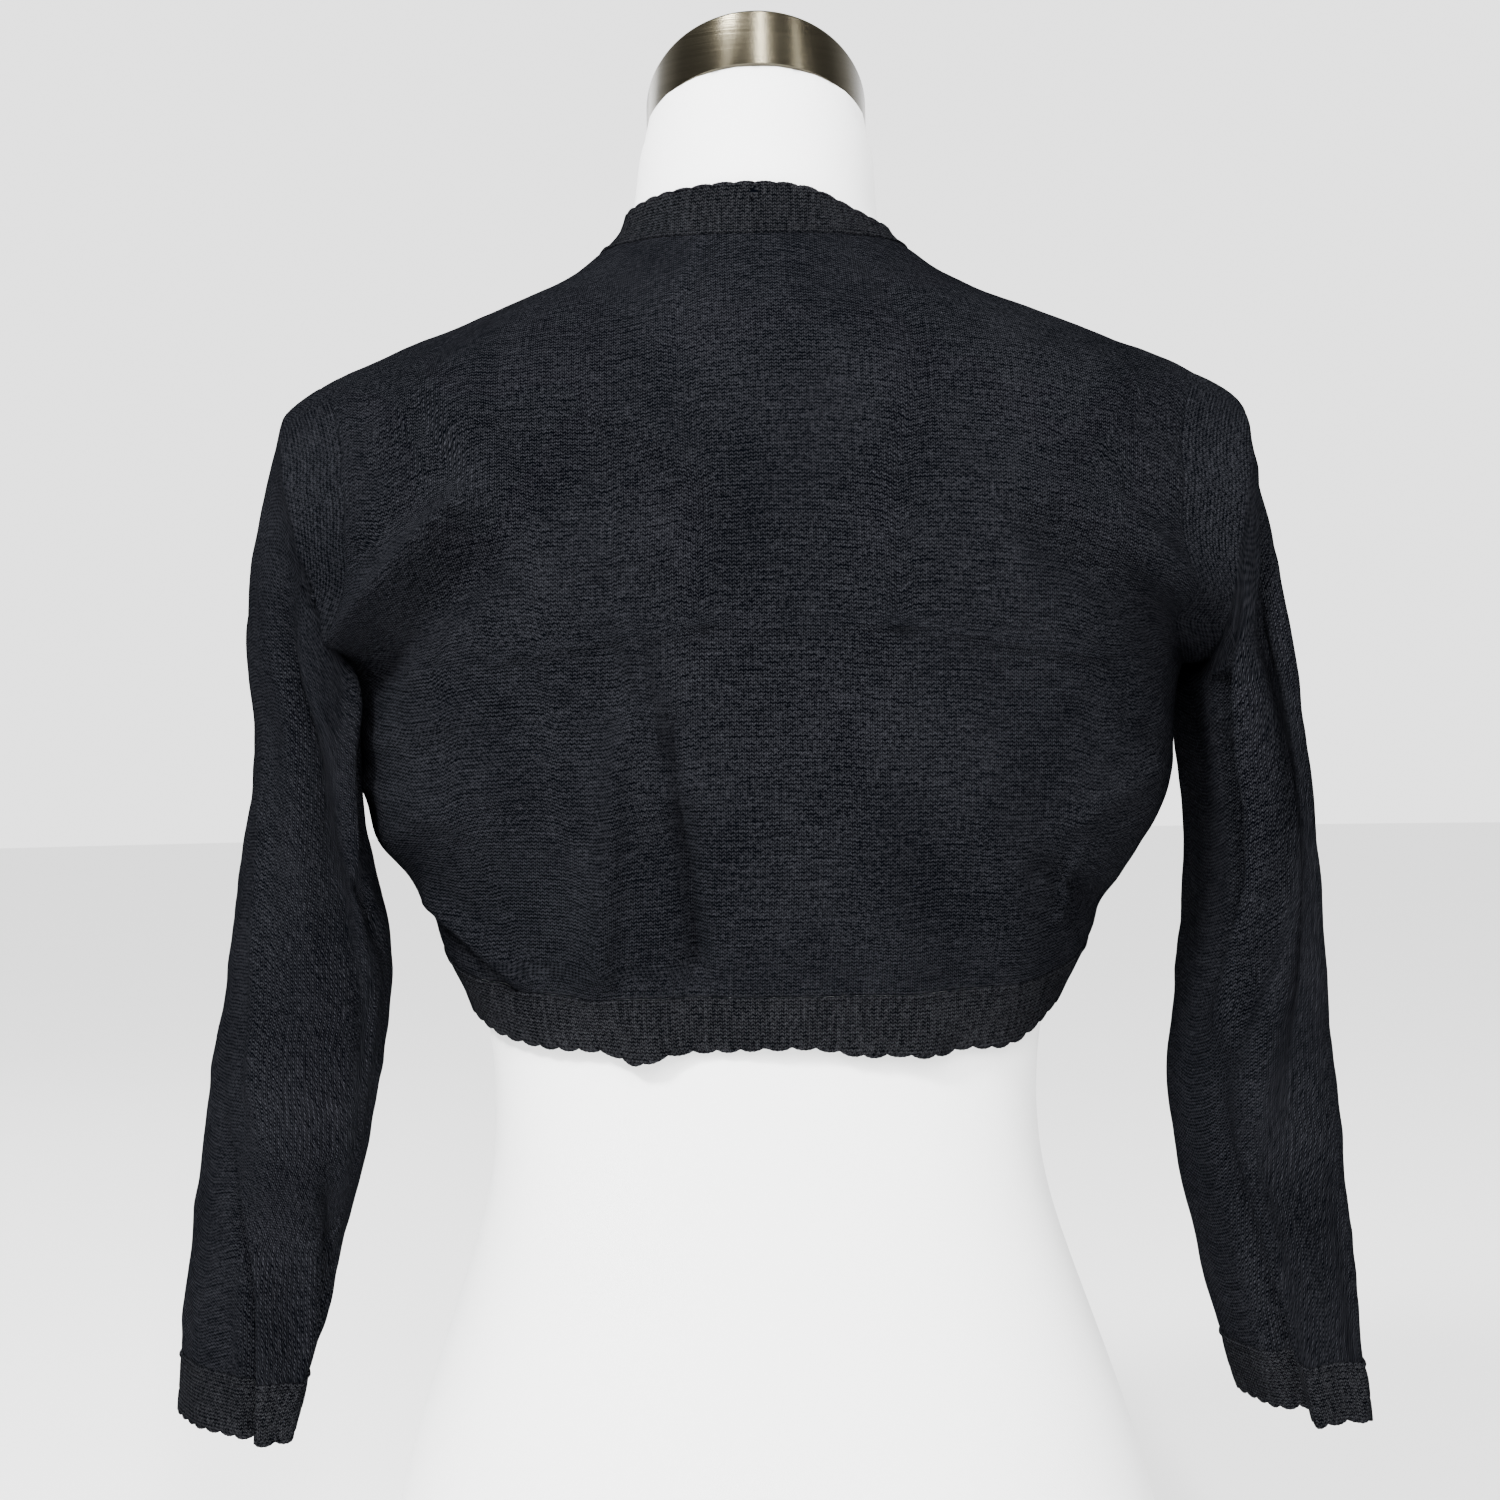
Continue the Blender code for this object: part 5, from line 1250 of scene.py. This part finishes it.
def armhole_ring(sign):
    """Points of the armhole seam, down the back and up the front, and their normals."""
    up = armhole_heights()
    height = np.concatenate([up[::-1], up[1:]])
    front = np.arange(len(height)) > ARMHOLE_ROWS
    angle = np.where(front, side_edge_angle(height, True), side_edge_angle(height, False))
    centre = np.array([cloth_point(math.pi / 2, ARMHOLE_CENTRE)[0], SIDE_Y, ARMHOLE_CENTRE])
    inward = unit(centre - cloth_point(angle, height))
    angle, height = walk(angle, height, inward, np.full(len(angle), HALF_GAP))
    return cloth_surface(sign * angle, height), cloth_normal(sign * angle, height)


def add_sleeve(name, node, stations, troughs, sign):
    """A sleeve's shell from the armhole to the cuff seam."""
    mirror = np.array([sign, 1.0, 1.0])
    angle = np.arange(2 * ARMHOLE_ROWS + 1) * math.pi / ARMHOLE_ROWS
    ring, ring_normal = armhole_ring(sign)
    at = np.concatenate([
        np.linspace(ARMHOLE_STATION, TUBE_STATION, BLEND_ROWS, endpoint=False),
        np.linspace(TUBE_STATION, CUFF_SEAM_STATION, TUBE_ROWS),
    ])
    angles, ats = np.meshgrid(angle, at)
    points, normals = creased_point(stations, troughs, angles, ats)
    points = points * mirror
    share = ease(ARMHOLE_STATION, TUBE_STATION, ats)[..., None]
    points = ring[None] * (1 - share) + points * share
    points[0] = ring - ring_normal * SEAM_TUCK
    points[-1] += unit(points[-2] - points[-1]) * HALF_GAP - normals[-1] * mirror * SEAM_TUCK
    points[:, -1] = points[:, 0]
    points = np.roll(points[:, :-1], ARMHOLE_ROWS, axis=1)
    points = np.concatenate([points, points[:, :1]], axis=1)
    centre = points.mean(axis=1, keepdims=True)
    add_shell(name, points, centre, knit, node, closed=True)


def add_cuff(name, node, stations, troughs, sign):
    """A cuff's shell, from its seam down to its scalloped edge."""
    mirror = np.array([sign, 1.0, 1.0])
    dense = np.linspace(0, FULL_TURN, CUFF_STEPS + 1)
    ring, _ = creased_point(stations, troughs, dense, np.full(len(dense), float(CUFF_EDGE_STATION)))
    length = np.append(0, np.linalg.norm(np.diff(ring, axis=0), axis=-1).cumsum())
    scallops = round(length[-1] / SCALLOP_PITCH)
    even = np.linspace(0, length[-1], scallops * COLUMNS_PER_SCALLOP + 1)
    angle = np.interp(even, length, dense)
    edge = edge_drop("cuff", even / length[-1] * scallops, even)
    rows = []
    for share in ACROSS_BAND:
        down = (HALF_GAP + (CUFF_WIDTH - HALF_GAP) * share - edge * share**EDGE_HOLD) / CUFF_WIDTH
        point, normal = creased_point(stations, troughs, angle, CUFF_SEAM_STATION + down)
        rows.append((point + normal * band_profile(np.array(share))) * mirror)
    points = np.array(rows)
    points[:, -1] = points[:, 0]
    centre = points.mean(axis=1, keepdims=True)
    add_shell(name, points, centre, band_knit, node, closed=True, thickness=BAND_THICKNESS)


add_sleeve("knit_sleeve_right", "sleeve_right", RIGHT_SLEEVE, RIGHT_TROUGHS, 1)
add_sleeve("knit_sleeve_left", "sleeve_left", LEFT_SLEEVE, LEFT_TROUGHS, -1)
add_cuff("knit_cuff_right", "cuff_right", RIGHT_SLEEVE, RIGHT_TROUGHS, 1)
add_cuff("knit_cuff_left", "cuff_left", LEFT_SLEEVE, LEFT_TROUGHS, -1)

# %% [markdown]
# The form needs no new drawing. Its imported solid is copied, its loose triangles are merged, and
# Subdivision Surface rounds it off. Just under the cap the jersey is folded in, which shows as a
# soft step, so the points above a sloping line are drawn in a little. The cloth's sheets rest on
# this piece.

# %% Form
FOLD_BELOW_TOP = 11.0
FOLD_STEP = 0.7
FOLD_SOFTNESS = 1.6
NECK_TOP = 726.0
NECK_TOP_SLOPE = 0.44
RIM_ANGLE = 45.0
QUAD_ANGLE = 60.0
ROUNDING_LEVELS = 3
FOLD_INNER_RADIUS = 30.0
FORM_SMOOTH_ANGLE = 40.0

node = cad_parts["dress_form"]
form = bpy.data.objects.new("form_jersey", node.data.copy())
form.matrix_world = node.matrix_world.copy()
bpy.context.scene.collection.objects.link(form)
bpy.ops.object.select_all(action="DESELECT")
bpy.context.view_layer.objects.active = form
form.select_set(True)
bpy.ops.object.mode_set(mode="EDIT")
bpy.ops.mesh.select_all(action="SELECT")
bpy.ops.mesh.remove_doubles(threshold=MERGE_DISTANCE * MM)
bpy.ops.mesh.tris_convert_to_quads(
    face_threshold=math.radians(QUAD_ANGLE), shape_threshold=math.radians(QUAD_ANGLE),
)
bpy.ops.mesh.select_all(action="DESELECT")
bpy.ops.mesh.edges_select_sharp(sharpness=math.radians(RIM_ANGLE))
bpy.ops.transform.edge_crease(value=1.0)
bpy.ops.object.mode_set(mode="OBJECT")
rounding = form.modifiers.new("rounding", "SUBSURF")
rounding.levels = rounding.render_levels = ROUNDING_LEVELS
bpy.ops.object.modifier_apply(modifier="rounding")
bpy.ops.object.transform_apply(location=True, rotation=True, scale=True)
for vertex in form.data.vertices:
    below_top = NECK_TOP * MM - NECK_TOP_SLOPE * vertex.co.y - vertex.co.z
    share = float(ease(-FOLD_SOFTNESS, FOLD_SOFTNESS, FOLD_BELOW_TOP - below_top / MM))
    away = Vector((vertex.co.x, vertex.co.y, 0))
    if share > 0 and away.length > FOLD_INNER_RADIUS * MM:
        vertex.co -= away.normalized() * FOLD_STEP * MM * share
form.data.materials.clear()
form.data.materials.append(jersey)
bpy.ops.object.shade_smooth_by_angle(angle=math.radians(FORM_SMOOTH_ANGLE))
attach(form, BODY)
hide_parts("dress_form")
print("form:", len(form.data.polygons), "faces")

# %% [markdown]
# The cap is a short tube of brushed metal, cut on a slope at both ends. A tall cylinder is added
# where it stands, and two sloping cuts leave the slice between them. Its rim is bevelled, and the
# top face is inset and lifted three times for its low dome.

# %% Neck cap
CAP_RADIUS = 47.0
CAP_CENTRE_Y = -0.5
CAP_GAP = 0.3
CAP_HEIGHT = 13.0
CAP_TOP_SLOPE = 0.64
CAP_DOME = 3.0
CAP_ROUNDING = 1.2
CAP_SIDES = 160
BLANK_LENGTH = 160.0
CAP_SMOOTH_ANGLE = 35.0
DomeStep = namedtuple("DomeStep", "inset rise")
DOME_STEPS = [
    DomeStep(14.0, 0.5),
    DomeStep(14.0, 0.33),
    DomeStep(10.0, 0.17),
]


def cut(height, slope, keep_above):
    """Cuts the mesh in edit mode along a plane that falls to the front, and closes the cut."""
    bpy.ops.mesh.select_all(action="SELECT")
    bpy.ops.mesh.bisect(
        plane_co=(0, 0, height * MM), plane_no=Vector((0, slope, 1)).normalized(),
        use_fill=True, clear_inner=keep_above, clear_outer=not keep_above,
    )


def select_top():
    """Selects nothing but the cap's large top face, and leaves the cap in edit mode."""
    bpy.ops.mesh.select_mode(type="FACE")
    bpy.ops.mesh.select_all(action="DESELECT")
    bpy.ops.object.mode_set(mode="OBJECT")
    for face in cap.data.polygons:
        face.select = face.normal.dot(top_normal) > 0.999 and len(face.vertices) > 8
    bpy.ops.object.mode_set(mode="EDIT")


bpy.ops.object.select_all(action="DESELECT")
bpy.ops.mesh.primitive_cylinder_add(
    vertices=CAP_SIDES, radius=CAP_RADIUS * MM, depth=BLANK_LENGTH * MM,
    location=(0, CAP_CENTRE_Y * MM, NECK_TOP * MM),
)
cap = bpy.context.object
cap.name = "cap_nickel"
bpy.ops.object.transform_apply(location=True, rotation=True, scale=True)
bpy.ops.object.mode_set(mode="EDIT")
cut(NECK_TOP + CAP_GAP, NECK_TOP_SLOPE, keep_above=True)
cut(NECK_TOP + CAP_HEIGHT, CAP_TOP_SLOPE, keep_above=False)
top_normal = Vector((0, CAP_TOP_SLOPE, 1)).normalized()
select_top()
bpy.ops.mesh.bevel(offset=CAP_ROUNDING * MM, segments=4)
select_top()
for step in DOME_STEPS:
    bpy.ops.mesh.inset(thickness=step.inset * MM)
    bpy.ops.transform.translate(value=top_normal * CAP_DOME * step.rise * MM)
bpy.ops.object.mode_set(mode="OBJECT")
cap.data.materials.append(nickel)
bpy.ops.object.shade_smooth_by_angle(angle=math.radians(CAP_SMOOTH_ANGLE))
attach(cap, BODY)
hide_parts("neck_cap")
print("cap:", len(cap.data.polygons), "faces")
